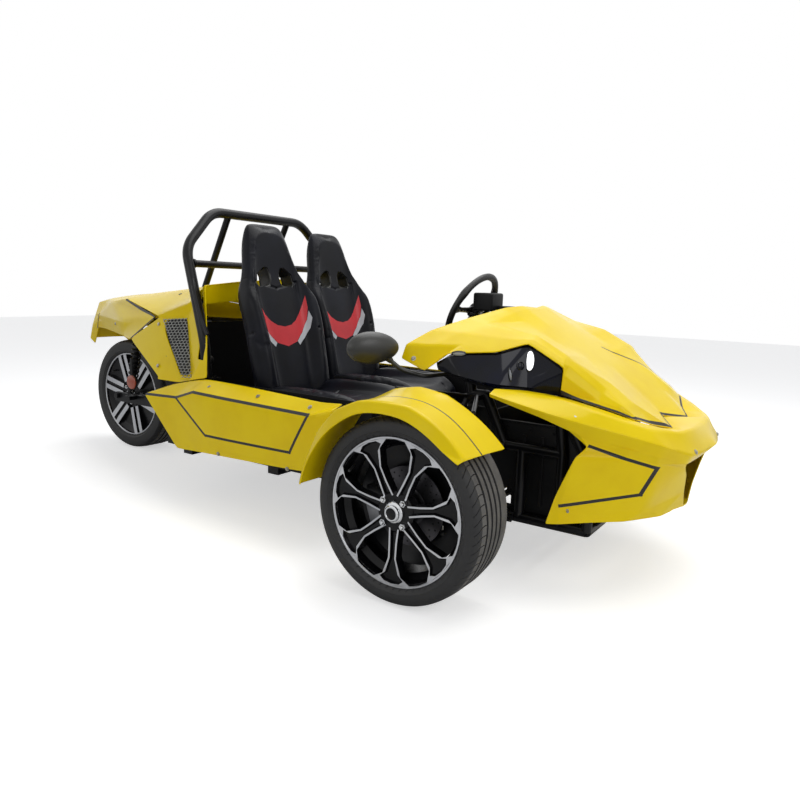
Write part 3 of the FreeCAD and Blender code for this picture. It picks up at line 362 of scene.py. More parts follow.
def only_verts(geom: Iterable) -> Verts:
    """The vertices among the parts that an operator returned."""
    return [g for g in geom if isinstance(g, bmesh.types.BMVert)]


def ring_pairs(points: Sequence) -> list[tuple]:
    """Neighbours around a closed ring, with the last joined to the first."""
    return list(zip(points, list(points[1:]) + [points[0]]))


def turn_about_z(bm: Mesh, angle: float) -> None:
    """Turns a whole mesh about Z by an angle in radians."""
    bmesh.ops.rotate(bm, cent=(0, 0, 0), matrix=Matrix.Rotation(angle, 3, "Z"), verts=bm.verts)


def bevelled(bm: Mesh, verts: Sequence[bmesh.types.BMVert], edges: Sequence[bmesh.types.BMEdge],
             width: float, segments: int = 2) -> Verts:
    """Rounds some edges of a shape and returns its vertices as they are afterwards."""
    made = bmesh.ops.bevel(bm, geom=edges, offset=width, offset_type="OFFSET", affect="EDGES",
                           segments=segments, profile=0.5, material=-1)
    return list({v for v in verts if v.is_valid} | set(made["verts"]))


def cad_copy(node: str) -> Mesh:
    """Merged copy of a CAD node's mesh."""
    bm = bmesh.new()
    bm.from_mesh(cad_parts[node].data)
    bmesh.ops.remove_doubles(bm, verts=bm.verts, dist=MERGE)
    bmesh.ops.dissolve_degenerate(bm, dist=MERGE, edges=bm.edges)
    bm.normal_update()
    return bm


def evaluated(bm: Mesh, modifiers: Sequence[tuple[str, dict]]) -> Mesh:
    """The mesh after modifiers, applied.

    Args:
        bm: mesh to change, which is freed.
        modifiers: type and settings of each.

    Returns:
        A new mesh.
    """
    mesh = bpy.data.meshes.new("work")
    bm.to_mesh(mesh)
    bm.free()
    work = bpy.data.objects.new("work", mesh)
    bpy.context.scene.collection.objects.link(work)
    for kind, settings in modifiers:
        modifier = work.modifiers.new(kind, kind)
        for key, value in settings.items():
            setattr(modifier, key, value)
    bpy.context.view_layer.update()
    result = bmesh.new()
    result.from_object(work, bpy.context.evaluated_depsgraph_get())
    bpy.data.objects.remove(work)
    bpy.data.meshes.remove(mesh)
    result.normal_update()
    return result


def subdivided(bm: Mesh, levels: int) -> Mesh:
    """The mesh after a subdivision surface of that many levels."""
    return evaluated(bm, [("SUBSURF", {"levels": levels, "render_levels": levels})])


def frame_along(start: Vector, end: Vector) -> Matrix:
    """Placement whose Z runs from start to end, with its origin at start."""
    axis = (end - start).normalized()
    turn = Vector((0, 0, 1)).rotation_difference(axis).to_matrix().to_4x4()
    return Matrix.Translation(start) @ turn


def add_rod(bm: Mesh, start: Vector, end: Vector, radius: float, segments: int = 20,
            taper: float = 1.0, edge: float = 0.0) -> Verts:
    """Adds a round bar between two points.

    Args:
        bm: mesh that gets the bar.
        start: middle of its first end.
        end: middle of its other end.
        radius: radius at the start.
        segments: sides around it.
        taper: radius at the end over the radius at the start.
        edge: bevel of both rims.

    Returns:
        The new vertices.
    """
    length = (end - start).length
    made = bmesh.ops.create_cone(bm, cap_ends=True, segments=segments, radius1=radius, radius2=radius * taper,
                                 depth=length,
                                 matrix=frame_along(start, end) @ Matrix.Translation((0, 0, length / 2)))
    verts = made["verts"]
    if edge > 0:
        rims = {e for v in verts for e in v.link_edges if e.calc_face_angle(0.0) > 1.2}
        verts = bevelled(bm, verts, list(rims), edge)
    return verts


def add_block(bm: Mesh, low: Vector, high: Vector, edge: float = 0.0,
              segments: int = 2) -> Verts:
    """Adds a block between two corners, with its edges rounded by a bevel."""
    size = high - low
    made = bmesh.ops.create_cube(bm, size=1.0, matrix=Matrix.Translation((low + high) / 2)
                                 @ Matrix.Diagonal((abs(size.x), abs(size.y), abs(size.z), 1.0)))
    verts = made["verts"]
    if edge > 0:
        edges = list({e for v in verts for e in v.link_edges})
        verts = bevelled(bm, verts, edges, edge, segments)
    return verts


def add_slab(bm: Mesh, outline: Sequence[Vector], depth: Vector,
             edge: float = 0.0) -> Verts:
    """Adds a plate of a flat outline, given its depth as a vector.

    Args:
        bm: mesh that gets the plate.
        outline: corners of one face.
        depth: from that face to the other.
        edge: bevel of its edges.

    Returns:
        The new vertices.
    """
    corners = [bm.verts.new(p) for p in outline]
    face = bm.faces.new(corners)
    pushed = bmesh.ops.extrude_face_region(bm, geom=[face], use_keep_orig=True)["geom"]
    moved = only_verts(pushed)
    bmesh.ops.translate(bm, verts=moved, vec=depth)
    verts = corners + moved
    faces = list({f for v in verts for f in v.link_faces})
    bmesh.ops.recalc_face_normals(bm, faces=faces)
    if edge > 0:
        edges = list({e for v in verts for e in v.link_edges})
        verts = bevelled(bm, verts, edges, edge)
    return verts


def add_lathe(bm: Mesh, profile: Sequence[tuple[float, float]], place: Matrix,
              steps: int = 64) -> Verts:
    """Adds a turned shape.

    Args:
        bm: mesh that gets it.
        profile: (radius, height along the axis) of each corner, in metres.
        place: matrix that puts the axis, its Z, where it belongs.
        steps: sides around it.

    Returns:
        The new vertices.
    """
    chain = [bm.verts.new((radius, 0.0, height)) for radius, height in profile]
    edges = [bm.edges.new(pair) for pair in zip(chain, chain[1:])]
    known = set(bm.verts) - set(chain)
    bmesh.ops.spin(bm, geom=chain + edges, cent=(0, 0, 0), axis=(0, 0, 1), angle=math.tau, steps=steps,
                   use_merge=True, use_duplicate=False)
    verts = [v for v in bm.verts if v not in known]
    bmesh.ops.remove_doubles(bm, verts=verts, dist=0.00001)
    verts = [v for v in bm.verts if v not in known]
    faces = list({f for v in verts for f in v.link_faces})
    bmesh.ops.recalc_face_normals(bm, faces=faces)
    bmesh.ops.transform(bm, matrix=place, verts=verts)
    return verts


def add_tube(bm: Mesh, points: Sequence[Vector], radius: float, segments: int = 16,
             bend: float = 0.0) -> Verts:
    """Adds a bent round tube through points; bend is how far from a corner its curve starts."""
    curve = bpy.data.curves.new("work", "CURVE")
    curve.dimensions = "3D"
    curve.bevel_depth = radius
    curve.bevel_resolution = max(1, segments // 4 - 1)
    curve.use_fill_caps = True
    spline = curve.splines.new("POLY")
    route = rounded(points, bend or radius * 3.0, 10 if bend else 5)
    spline.points.add(len(route) - 1)
    for target, point in zip(spline.points, route):
        target.co = (*point, 1.0)
    work = bpy.data.objects.new("work", curve)
    bpy.context.scene.collection.objects.link(work)
    mesh = bpy.data.meshes.new_from_object(work)
    before = set(bm.verts)
    bm.from_mesh(mesh)
    bpy.data.objects.remove(work)
    bpy.data.curves.remove(curve)
    bpy.data.meshes.remove(mesh)
    verts = [v for v in bm.verts if v not in before]
    bmesh.ops.remove_doubles(bm, verts=verts, dist=0.00001)
    return [v for v in bm.verts if v not in before]


def rounded(points: Sequence[Vector], radius: float, steps: int = 5) -> list[Vector]:
    """Route whose inner corners are replaced by short curves."""
    route = [points[0]]
    for before, corner, after in zip(points, points[1:], points[2:]):
        back, ahead = before - corner, after - corner
        reach = min(radius, back.length * 0.45, ahead.length * 0.45)
        a, b = corner + back.normalized() * reach, corner + ahead.normalized() * reach
        for step in range(steps + 1):
            t = step / steps
            route.append(a * (1 - t) ** 2 + corner * 2 * t * (1 - t) + b * t ** 2)
    route.append(points[-1])
    return route


def set_index(verts: Iterable[bmesh.types.BMVert], index: int) -> None:
    """Gives the faces of these vertices a material index."""
    for face in {f for v in verts for f in v.link_faces}:
        face.material_index = index


def score(bm: Mesh, start: Vector, end: Vector, width: float, view: Vector, index: int,
          reach: float = 0.0) -> None:
    """Marks a straight line on the skin, as a strip of faces with another finish.

    Args:
        bm: mesh of the panel.
        start: one end of the line, seen along the view.
        end: the other end.
        width: width of the strip.
        view: direction in which the line is laid on the skin; skin that faces away is left alone.
        index: material index of the strip.
        reach: how far the strip runs on past both ends.
    """
    view = view.normalized()
    along = end - start
    along = (along - view * along.dot(view)).normalized()
    across = along.cross(view)
    first, last = start.dot(along) - reach, end.dot(along) + reach
    centre = start.dot(across)

    def near(face: bmesh.types.BMFace) -> bool:
        """Whether the face lies under the strip."""
        if face.normal.dot(view) < GRAZING:
            return False
        u = [v.co.dot(along) for v in face.verts]
        w = [v.co.dot(across) - centre for v in face.verts]
        return max(u) > first and min(u) < last and max(w) > -width / 2 and min(w) < width / 2

    for point, normal in ((centre - width / 2, across), (centre + width / 2, across), (first, along),
                          (last, along)):
        faces = [f for f in bm.faces if near(f)]
        geom = faces + list({e for f in faces for e in f.edges}) + list({v for f in faces for v in f.verts})
        bmesh.ops.bisect_plane(bm, geom=geom, plane_co=normal * point, plane_no=normal, dist=MERGE)
    for face in bm.faces:
        if face.normal.dot(view) < GRAZING:
            continue
        place = face.calc_center_median()
        inside = abs(place.dot(across) - centre) < width / 2 and first < place.dot(along) < last
        if inside:
            face.material_index = index


# ------------------------------------------------------------------ bodywork
Mark = tuple[Sequence[Vector], float, Vector]
UP = Vector((0, 0, 1))
OUT = {Side.LEFT: Vector((0, 1, 0)), Side.RIGHT: Vector((0, -1, 0))}


@dataclass
class Panel:
    """One glass-fibre moulding, made from the facets of its CAD node with its folds rounded."""

    node: str
    fold: float = 10.0
    softness: float = 0.5
    bend: float = 17.0
    levels: int = 3
    rim_angle: float = 55.0
    rim_crease: float = 0.9

    def shape(self) -> Mesh:
        """The moulding with smooth faces between its rounded folds."""
        bm = cad_copy(self.node)
        bmesh.ops.join_triangles(bm, faces=bm.faces, angle_face_threshold=math.radians(24),
                                 angle_shape_threshold=math.radians(70))
        corner = bm.verts.layers.float.new("crease_vert")
        crease = bm.edges.layers.float.new("crease_edge")
        rims: dict[bmesh.types.BMVert, list[bmesh.types.BMEdge]] = {}
        for edge in bm.edges:
            angle = math.degrees(edge.calc_face_angle(0.0))
            if angle > self.rim_angle:
                edge[crease] = self.rim_crease
                for vert in edge.verts:
                    rims.setdefault(vert, []).append(edge)
            elif angle > self.fold:
                edge[crease] = self.softness
        for vert, edges in rims.items():
            ways = [(edge.other_vert(vert).co - vert.co).normalized() for edge in edges]
            straight = min((a.dot(b) for a in ways for b in ways), default=1.0)
            if straight > -math.cos(math.radians(self.bend)):
                vert[corner] = self.rim_crease
        return subdivided(bm, self.levels)

    def build(self, marks: Sequence[Mark] = ()) -> bpy.types.Object:
        """Builds the moulding with black joint lines on it.

        Args:
            marks: for each line its points, its width and the direction that it is seen in.

        Returns:
            The piece.
        """
        bm = self.shape()
        for points, width, view in marks:
            for start, end in zip(points, points[1:]):
                score(bm, start, end, width, view, 1, width / 2)
        return publish(self.node + "_moulding", bm, (GELCOAT, JOINT_TAPE), stands_for=(self.node,), fold=48.0)


@dataclass
class Bodywork:
    """All coloured mouldings, with their black joints and their screws."""

    tape: float = 11 * MM
    seam: float = 9 * MM
    screw: float = 7 * MM

    def bonnet(self) -> None:
        """Bonnet, with the joint to the nose band and a black line along the left edge of its middle panel, on the
        left side only.
        """
        marks: list[Mark] = []
        front_way = Vector((0.35, 0, 0))
        for side in Side:
            out = OUT[side]
            edge = [(345, 408, 668), (452, 362, 633), (508, 343, 617), (563, 321, 599)]
            marks.append(([side.flip(front(*p)) for p in edge], self.seam, out + UP))
            tip = [(566, 318, 596), (598, 219, 566), (640, 122, 546), (574, 0, 566)]
            marks.append(([side.flip(front(x - 9, y, z)) for x, y, z in tip], 1.2 * self.seam,
                          UP + front_way))
        # A black line along the left edge of the middle panel; the right side gets none.
        seam = [(563, 322, 594), (505, 322, 640), (468, 305, 680), (300, 120, 781)]
        marks.append(([front(*p) for p in seam], 0.8 * self.seam, UP))
        Panel("bonnet", fold=6.0, softness=0.66, bend=8.0).build(marks)

    def nose(self) -> None:
        """Nose band with its cheeks, each with a tape line around its flat."""
        marks: list[Mark] = []
        for side in Side:
            tape = [(462, 440, 511), (639, 297, 442), (599, 316, 351), (400, 495, 318)]
            marks.append(([side.flip(front(*p)) for p in tape], self.tape, OUT[side]))
        Panel("front_bumper", fold=11.0).build(marks)

    def fenders(self) -> None:
        """Arches over the front wheels, each with one lengthwise joint."""
        for side in Side:
            line = [front(x, 793, 640) for x in (-120, 20, 170, 300)]
            Panel("fender_" + side.word, fold=26.0, softness=0.36).build(
                [([side.flip(p) for p in line], 0.6 * self.seam, UP)])

    def sides(self) -> None:
        """Side panels with a tape line around the sunk field."""
        for side in Side:
            loop = [(-1574, 465), (-1334, 478), (-1202, 518), (-526, 511), (-620, 354), (-1121, 343),
                    (-1334, 478)]
            points = [side.flip(front(x, 640, z)) for x, z in loop]
            Panel("side_panel_" + side.word).build([(points, self.tape, OUT[side])])

    def back(self) -> None:
        """Rear quarters and tail cover with the joint between them."""
        for side in Side:
            Panel("rear_quarter_" + side.word).build()
        marks: list[Mark] = []
        for side in Side:
            deck = [(279, 297, 880), (716, 446, 811)]
            marks.append(([side.flip(rear(*p)) for p in deck], 0.7 * self.seam, UP))
            flank = [(716, 446, 811), (478, 421, 689)]
            marks.append(([side.flip(rear(*p)) for p in flank], 0.7 * self.seam, OUT[side] - 0.4 * UP))
            drop = [(-193, 154, 775), (-232, 138, 692)]
            marks.append(([side.flip(rear(*p)) for p in drop], self.seam, OUT[side]))
        Panel("tail_cover").build(marks)

    def screws(self) -> None:
        """Domed screws with washers where the mouldings are fixed."""
        places = [(front(-110, 591, 752), (0.13, 0.9, 0.42)), (front(421, 477, 606), (0.44, 0.38, 0.82)),
                  (front(729, 186, 490), (0.82, 0.14, 0.55)), (front(418, 476, 299), (0.68, 0.71, -0.18)),
                  (front(-1135, 586, 544), (0.0, 0.6, 0.8)), (front(-829, 603, 543), (-0.03, 0.5, 0.86)),
                  (front(-541, 621, 536), (0.0, 0.68, 0.74)), (front(-639, 638, 285), (0.0, 1.0, -0.1)),
                  (front(-1040, 624, 276), (0.0, 1.0, -0.1)), (rear(206, 317, 744), (-0.38, 0.92, -0.12)),
                  (rear(812, 515, 590), (-0.2, 0.96, 0.22)), (rear(754, 460, 778), (-0.2, 0.96, 0.22))]
        for side in Side:
            bm = bmesh.new()
            surface = BVHTree.FromBMesh(joined_panels(side))
            for place, normal in places:
                spot, out = side.flip(place), side.flip(Vector(normal)).normalized()
                found = surface.find_nearest(spot)
                spot = found[0] if found[0] else spot
                add_rod(bm, spot - out * 2 * MM, spot + out * 1.5 * MM, self.screw * 1.25, 24, edge=0.5 * MM)
                add_rod(bm, spot + out * 1.4 * MM, spot + out * 4.5 * MM, self.screw * 0.8, 20, 0.75,
                        0.8 * MM)
            publish("panel_screws_" + side.word, bm, (ZINC,))

    def build(self) -> None:
        """Builds all the mouldings and then their screws."""
        for step in (self.bonnet, self.nose, self.fenders, self.sides, self.back, self.screws):
            step()


def joined_panels(side: Side) -> Mesh:
    """CAD skins of one side in one mesh, to set small pieces on."""
    bm = bmesh.new()
    for node in ("bonnet", "front_bumper", "side_panel_" + side.word, "rear_quarter_" + side.word,
                 "tail_cover"):
        bm.from_mesh(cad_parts[node].data)
    return bm


# ------------------------------------------------------------------ wheels
@dataclass
class Tyre:
    """Low-profile road tyre: four lengthwise grooves, curved sipes on the outer shoulder, straight ones inside."""

    place: str
    side: int
    radius: float
    width: float
    pitches: int = 62
    grooves: tuple[int, ...] = (52, 82, 110, 138)
    groove_depth: float = 8 * MM
    sipe_depth: float = 4.5 * MM

    def profile(self, bead: float) -> list[tuple[float, float]]:
        """Half section from the outboard bead to the inboard one, as (radius, offset outboard)."""
        half, r = self.width / 2, self.radius
        wall = [(bead - 2 * MM, half - 22 * MM), (bead + 6 * MM, half - 15 * MM),
                (bead + 14 * MM, half - 8 * MM),
                (bead + 22 * MM, half - 1.5 * MM), (bead + 23.5 * MM, half - 2.5 * MM),
                ((bead + r) / 2 + 4 * MM, half - 0.5 * MM), (r - 17 * MM, half - 4 * MM),
                (r - 9.5 * MM, half - 11 * MM), (r - 5.5 * MM, half - 19 * MM)]
        crown: list[tuple[float, float]] = [(r - 3.4 * MM, half - 30 * MM), (r - 1.8 * MM, half - 46 * MM)]
        for at in self.grooves:
            crown += [(r - 1.2 * MM, half - at * MM), (r - self.groove_depth, half - (at + 2.2) * MM),
                      (r - self.groove_depth, half - (at + 7.8) * MM), (r - 0.6 * MM, half - (at + 10) * MM)]
        inner = [(a, -b) for a, b in reversed(wall)]
        return wall + crown + inner

    def build(self) -> None:
        """Builds the tyre around its wheel."""
        centre = middle("tyre_" + self.place)
        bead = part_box("rim_" + self.place)[1].z - centre.z - 6 * MM
        bm = bmesh.new()
        pitch = math.tau / self.pitches
        chain = [bm.verts.new((r, self.side * y, 0.0)) for r, y in self.profile(bead)]
        edges = [bm.edges.new(pair) for pair in zip(chain, chain[1:])]
        ends = chain + edges
        axis = Vector((0, 1, 0))
        strips = []
        for share in (0.42, 0.1, 0.48):
            before = set(bm.faces)
            spun = bmesh.ops.spin(bm, geom=ends, cent=(0, 0, 0), axis=axis, angle=pitch * share, steps=1)
            ends = spun["geom_last"]
            strips.append([f for f in bm.faces if f not in before])
        half = self.width / 2
        shoulder, far = ([f for f in strips[1] if low < self.side * f.calc_center_median().y < high]
                         for low,
                         high in ((half - 51 * MM, half - 7 * MM), (-half + 7 * MM, -half + 33 * MM)))
        for strip in (shoulder, far):
            pushed = bmesh.ops.extrude_face_region(bm, geom=strip)["geom"]
            lowered = only_verts(pushed)
            bmesh.ops.delete(bm, geom=[f for f in strip if f.is_valid], context="FACES_ONLY")
            for vert in lowered:
                flat = Vector((vert.co.x, 0, vert.co.z))
                vert.co -= flat.normalized() * self.sipe_depth
        bmesh.ops.spin(bm, geom=everything(bm), cent=(0, 0, 0), axis=axis,
                       angle=math.tau - pitch, steps=self.pitches - 1, use_duplicate=True)
        bmesh.ops.remove_doubles(bm, verts=bm.verts, dist=0.00004)
        for vert in bm.verts:
            inward = half - self.side * vert.co.y
            curved = 0 <= inward <= 100 * MM
            sweep = 0.11 * math.sin(inward / (52 * MM) * math.pi / 1.6) if curved else 0.0
            vert.co = Matrix.Rotation(sweep * self.side, 3, "Y") @ vert.co
        bmesh.ops.recalc_face_normals(bm, faces=bm.faces)
        # Faces of the running face take the paler tread finish: road scuffing plus painted light from the front.
        for face in bm.faces:
            spot = face.calc_center_median()
            if spot.xz.length > self.radius - 3.5 * MM and abs(spot.y) < half - 24 * MM:
                face.material_index = 1
        bmesh.ops.translate(bm, verts=bm.verts, vec=centre)
        publish("tyre_tread_" + self.place, bm, (RUBBER, SCUFFED_TREAD_PAINTED_LIGHT), "wheel_" + self.place,
                ("tyre_" + self.place,), 30.0)


@dataclass
class AlloyWheel:
    """Shared parts of the wheels: barrel, lip, hub cap and nuts."""

    place: str
    side: int
    bolts: int
    lip: float = 236 * MM
    face: float = 96 * MM
    hub_face: float = 93 * MM

    @property
    def body(self) -> str:
        """Body that the wheel turns with."""
        return "wheel_" + self.place

    def at(self) -> Matrix:
        """Placement whose Z runs along the axle, outboard, with X up."""
        outboard = Vector((0, self.side, 0))
        up = Vector((0, 0, 1))
        turn = Matrix((up, outboard.cross(up), outboard)).transposed().to_4x4()
        return Matrix.Translation(self.centre()) @ turn

    def centre(self) -> Vector:
        """Middle of the wheel."""
        return middle("tyre_" + self.place)

    def barrel(self, bm: Mesh) -> None:
        """Barrel with its outer and inner flanges; the outer lip is faced bright."""
        f, r = self.face, self.lip
        profile = [(r - 5 * MM, f - 3 * MM), (r - 3 * MM, f), (r + 2 * MM, f), (r + 3.5 * MM, f - 2 * MM),
                   (r + 3.5 * MM, f - 8 * MM), (r - 8 * MM, f - 11 * MM), (r - 9 * MM, f - 40 * MM),
                   (r - 24 * MM, f - 52 * MM), (r - 26 * MM, -f + 40 * MM), (r - 9 * MM, -f + 26 * MM),
                   (r - 8 * MM, -f + 11 * MM), (r + 3.5 * MM, -f + 9 * MM), (r + 3.5 * MM, -f + 1 * MM),
                   (r - 4 * MM, -f), (r - 13 * MM, -f + 8 * MM), (r - 31 * MM, -f + 42 * MM),
                   (r - 31 * MM, f - 56 * MM), (r - 13 * MM, f - 40 * MM), (r - 5 * MM, f - 3 * MM)]
        verts = add_lathe(bm, profile, Matrix.Identity(4), 96)
        for face in {g for v in verts for g in v.link_faces}:
            spot = face.calc_center_median()
            bright = spot.z > f - 2.2 * MM and math.hypot(spot.x, spot.y) > r - 4.5 * MM
            face.material_index = 1 if bright else 0

    def hub(self, bm: Mesh) -> None:
        """Hub boss, stepped chrome cap with ribs and a plain domed centre, and nuts."""
        h = self.hub_face
        set_index(add_lathe(bm, [(0, 12 * MM), (46 * MM, 12 * MM), (66 * MM, h - 42 * MM),
                                 (66 * MM, h - 12 * MM),
                                 (60 * MM, h - 6 * MM), (0, h - 6 * MM)], Matrix.Identity(4), 48), 0)
        cap = [(34 * MM, h - 8 * MM), (34 * MM, h + 1 * MM), (31 * MM, h + 4 * MM), (27 * MM, h + 5 * MM),
               (26 * MM, h + 12 * MM), (23 * MM, h + 15 * MM), (19 * MM, h + 15 * MM), (18 * MM, h + 13 * MM)]
        set_index(add_lathe(bm, cap, Matrix.Identity(4), 48), 2)
        dome = [(18 * MM, h + 13 * MM), (12 * MM, h + 14 * MM), (6 * MM, h + 14.6 * MM), (0, h + 14.8 * MM)]
        set_index(add_lathe(bm, dome, Matrix.Identity(4), 48), 0)
        for k in range(12):
            turn = Matrix.Rotation(k * math.tau / 12, 4, "Z")
            set_index(add_block(bm, mm(33, -2.5, 0) + Vector((0, 0, h - 7 * MM)),
                                mm(39, 2.5, 0) + Vector((0, 0, h + 1 * MM)), 0.8 * MM), 2)
            # Only 24 of a rounded block's 56 vertices turn, so each rib is drawn out towards the first.
            bmesh.ops.transform(bm, matrix=turn, verts=bm.verts[-24:])
        for k in range(self.bolts):
            turn = math.pi / 4 + k * math.tau / self.bolts
            foot = Vector((math.cos(turn) * 52 * MM, math.sin(turn) * 52 * MM, h - 8 * MM))
            top = foot + Vector((0, 0, 16 * MM))
            set_index(add_rod(bm, foot, top, 11 * MM, 6, edge=1 * MM), 2)
            set_index(add_rod(bm, top - Vector((0, 0, 1 * MM)), top + Vector((0, 0, 5 * MM)), 8.5 * MM, 16,
                              0.6, 1.5 * MM), 2)

    def plate(self, bm: Mesh, outline: Sequence[tuple[float, float, float]],
              index: int) -> bmesh.types.BMFace:
        """Adds one face of the spoke pattern.

        Args:
            bm: mesh of the pattern.
            outline: (radius, sideways, height) of each corner, in millimetres.
            index: its material.

        Returns:
            The face.
        """
        face = bm.faces.new([bm.verts.new(Vector(p) * MM) for p in outline])
        face.material_index = index
        return face

    def spread(self, bm: Mesh, count: int) -> None:
        """Mirrors a half spoke over its middle line and repeats it around the hub."""
        bmesh.ops.remove_doubles(bm, verts=bm.verts, dist=MERGE)
        copy = bmesh.ops.duplicate(bm, geom=everything(bm))["geom"]
        verts = only_verts(copy)
        bmesh.ops.scale(bm, vec=(1, -1, 1), verts=verts)
        bmesh.ops.reverse_faces(bm, faces=[g for g in copy if isinstance(g, bmesh.types.BMFace)])
        bmesh.ops.remove_doubles(bm, verts=bm.verts, dist=MERGE)
        bmesh.ops.spin(bm, geom=everything(bm), cent=(0, 0, 0), axis=(0, 0, 1),
                       angle=math.tau * (count - 1) / count, steps=count - 1, use_duplicate=True)
        bmesh.ops.remove_doubles(bm, verts=bm.verts, dist=MERGE)

    def finish(self, spokes: Mesh) -> None:
        """Joins spokes, barrel and hub into the wheel."""
        self.barrel(spokes)
        self.hub(spokes)
        bmesh.ops.transform(spokes, matrix=self.at(), verts=spokes.verts)
        publish("alloy_wheel_" + self.place, spokes, (WHEEL_ENAMEL, MACHINED, CHROME), self.body,
                ("rim_" + self.place,), 28.0)

    def valve(self, turn: float) -> None:
        """Rubber tyre valve with its cap near the lip, this far round from the top."""
        bm = bmesh.new()
        foot = mm(212, 26, 62)
        add_rod(bm, foot, foot + mm(-10, 0, 26), 4 * MM, 12, edge=0.6 * MM)
        add_rod(bm, foot + mm(-9, 0, 24), foot + mm(-13, 0, 36), 4.6 * MM, 12, edge=0.8 * MM)
        bmesh.ops.transform(bm, matrix=self.at() @ Matrix.Rotation(turn, 4, "Z"), verts=bm.verts)
        publish("tyre_valve_" + self.place, bm, (BOOT_RUBBER,), self.body)


@dataclass
class FrontWheel(AlloyWheel):
    """Front wheel: seven black spokes, each with two bright ridges that open into pads at the lip."""

    spokes: int = 7

    def build(self) -> None:
        """Builds the wheel."""
        bm = bmesh.new()
        step = math.pi / self.spokes
        lip, top = 233.0, 95.0
        end = (lip * math.cos(step), lip * math.sin(step), top)
        outer = [(52, 18.5, 88), (100, 15.5, 92), (147, 14.5, 94), (202, 34, top), (221, 68, top), end]
        ridge = [(52, 13, 88), (100, 9.5, 92), (147, 9, 94), (196, 24, top), (213, 44, top),
                 (226, 28, top), (229.5, 0, top)]
        pocket = [(52, 0, 88)] + ridge
        for k in range(4):
            self.plate(bm, (outer[k], ridge[k], ridge[k + 1], outer[k + 1])[::-1], 1)
        rim_mid = (lip * math.cos(step * 0.55), lip * math.sin(step * 0.55), top)
        self.plate(bm, (outer[4], ridge[4], ridge[5], rim_mid, end)[::-1], 1)
        self.plate(bm, (ridge[5], ridge[6], (lip, 0, top), rim_mid)[::-1], 1)
        sunk = self.plate(bm, pocket[::-1], 0)
        bmesh.ops.remove_doubles(bm, verts=bm.verts, dist=MERGE)
        bmesh.ops.recalc_face_normals(bm, faces=bm.faces)
        if sunk.normal.z < 0:
            bmesh.ops.reverse_faces(bm, faces=bm.faces)
        walls = [e for e in bm.edges if e.is_boundary and min(v.co.y for v in e.verts) > 1 * MM
                 and not all(v.co.x < 53 * MM for v in e.verts)
                 and max(v.co.to_2d().length for v in e.verts) < 229 * MM]
        pushed = bmesh.ops.extrude_edge_only(bm, edges=walls)["geom"]
        verts = only_verts(pushed)
        bmesh.ops.translate(bm, verts=verts, vec=(0, 0, -34 * MM))
        for face in {f for v in verts for f in v.link_faces}:
            face.material_index = 0
        self.spread(bm, self.spokes)
        fields = [f for f in bm.faces if f.material_index == 0 and abs(f.normal.z) > 0.8 and
                  f.calc_center_median().z > 80 * MM]
        bmesh.ops.inset_region(bm, faces=fields, thickness=1.2 * MM, depth=0.0)
        bmesh.ops.inset_region(bm, faces=fields, thickness=4.5 * MM, depth=-9 * MM)
        bmesh.ops.recalc_face_normals(bm, faces=bm.faces)
        turn_about_z(bm, step)
        self.finish(bm)
        self.valve(2 * step)


@dataclass
class RearWheel(AlloyWheel):
    """Rear wheel: six pairs of bright bars over a black dish."""

    spokes: int = 6
    turn: float = 17.0
    face: float = 101 * MM

    def build(self) -> None:
        """Builds the wheel."""
        bm = bmesh.new()
        lip, top = 233.0, 99.0
        bars = [(78, 11, 92), (78, 36, 92), (150, 37, 96), (205, 38, top), (230, 39, top), (232, 12, top),
                (205, 11, top), (150, 11, 96)]
        self.plate(bm, bars, 1)
        gap = [(60, 0, 84), (60, 11, 84), (150, 11, 88), (205, 11, 91), (lip, 12, 91), (lip, 0, 91)]
        self.plate(bm, gap, 0)
        bmesh.ops.recalc_face_normals(bm, faces=bm.faces)
        for face in bm.faces:
            if face.normal.z < 0:
                face.normal_flip()
        edges = [e for e in bm.edges if min(v.co.y for v in e.verts) > 0.5 * MM]
        pushed = bmesh.ops.extrude_edge_only(bm, edges=edges)["geom"]
        verts = only_verts(pushed)
        bmesh.ops.translate(bm, verts=verts, vec=(0, 0, -30 * MM))
        for face in {f for v in verts for f in v.link_faces}:
            face.material_index = 0
        self.spread(bm, self.spokes)
        bmesh.ops.recalc_face_normals(bm, faces=bm.faces)
        for face in bm.faces:
            if abs(face.normal.z) > 0.8 and face.normal.z < 0 and face.calc_center_median().z > 75 * MM:
                face.normal_flip()
        turn_about_z(bm, math.radians(self.turn))
        dish = [(40, 70), (66, 82), (80, 78), (190, 74), (214, 80), (228, 88), (228, 84), (214, 74),
                (190, 68), (40, 64), (40, 70)]
        set_index(add_lathe(bm, [(a * MM, b * MM) for a, b in dish], Matrix.Identity(4), 96), 0)
        self.finish(bm)
        self.valve(math.radians(self.turn) + math.pi / self.spokes)


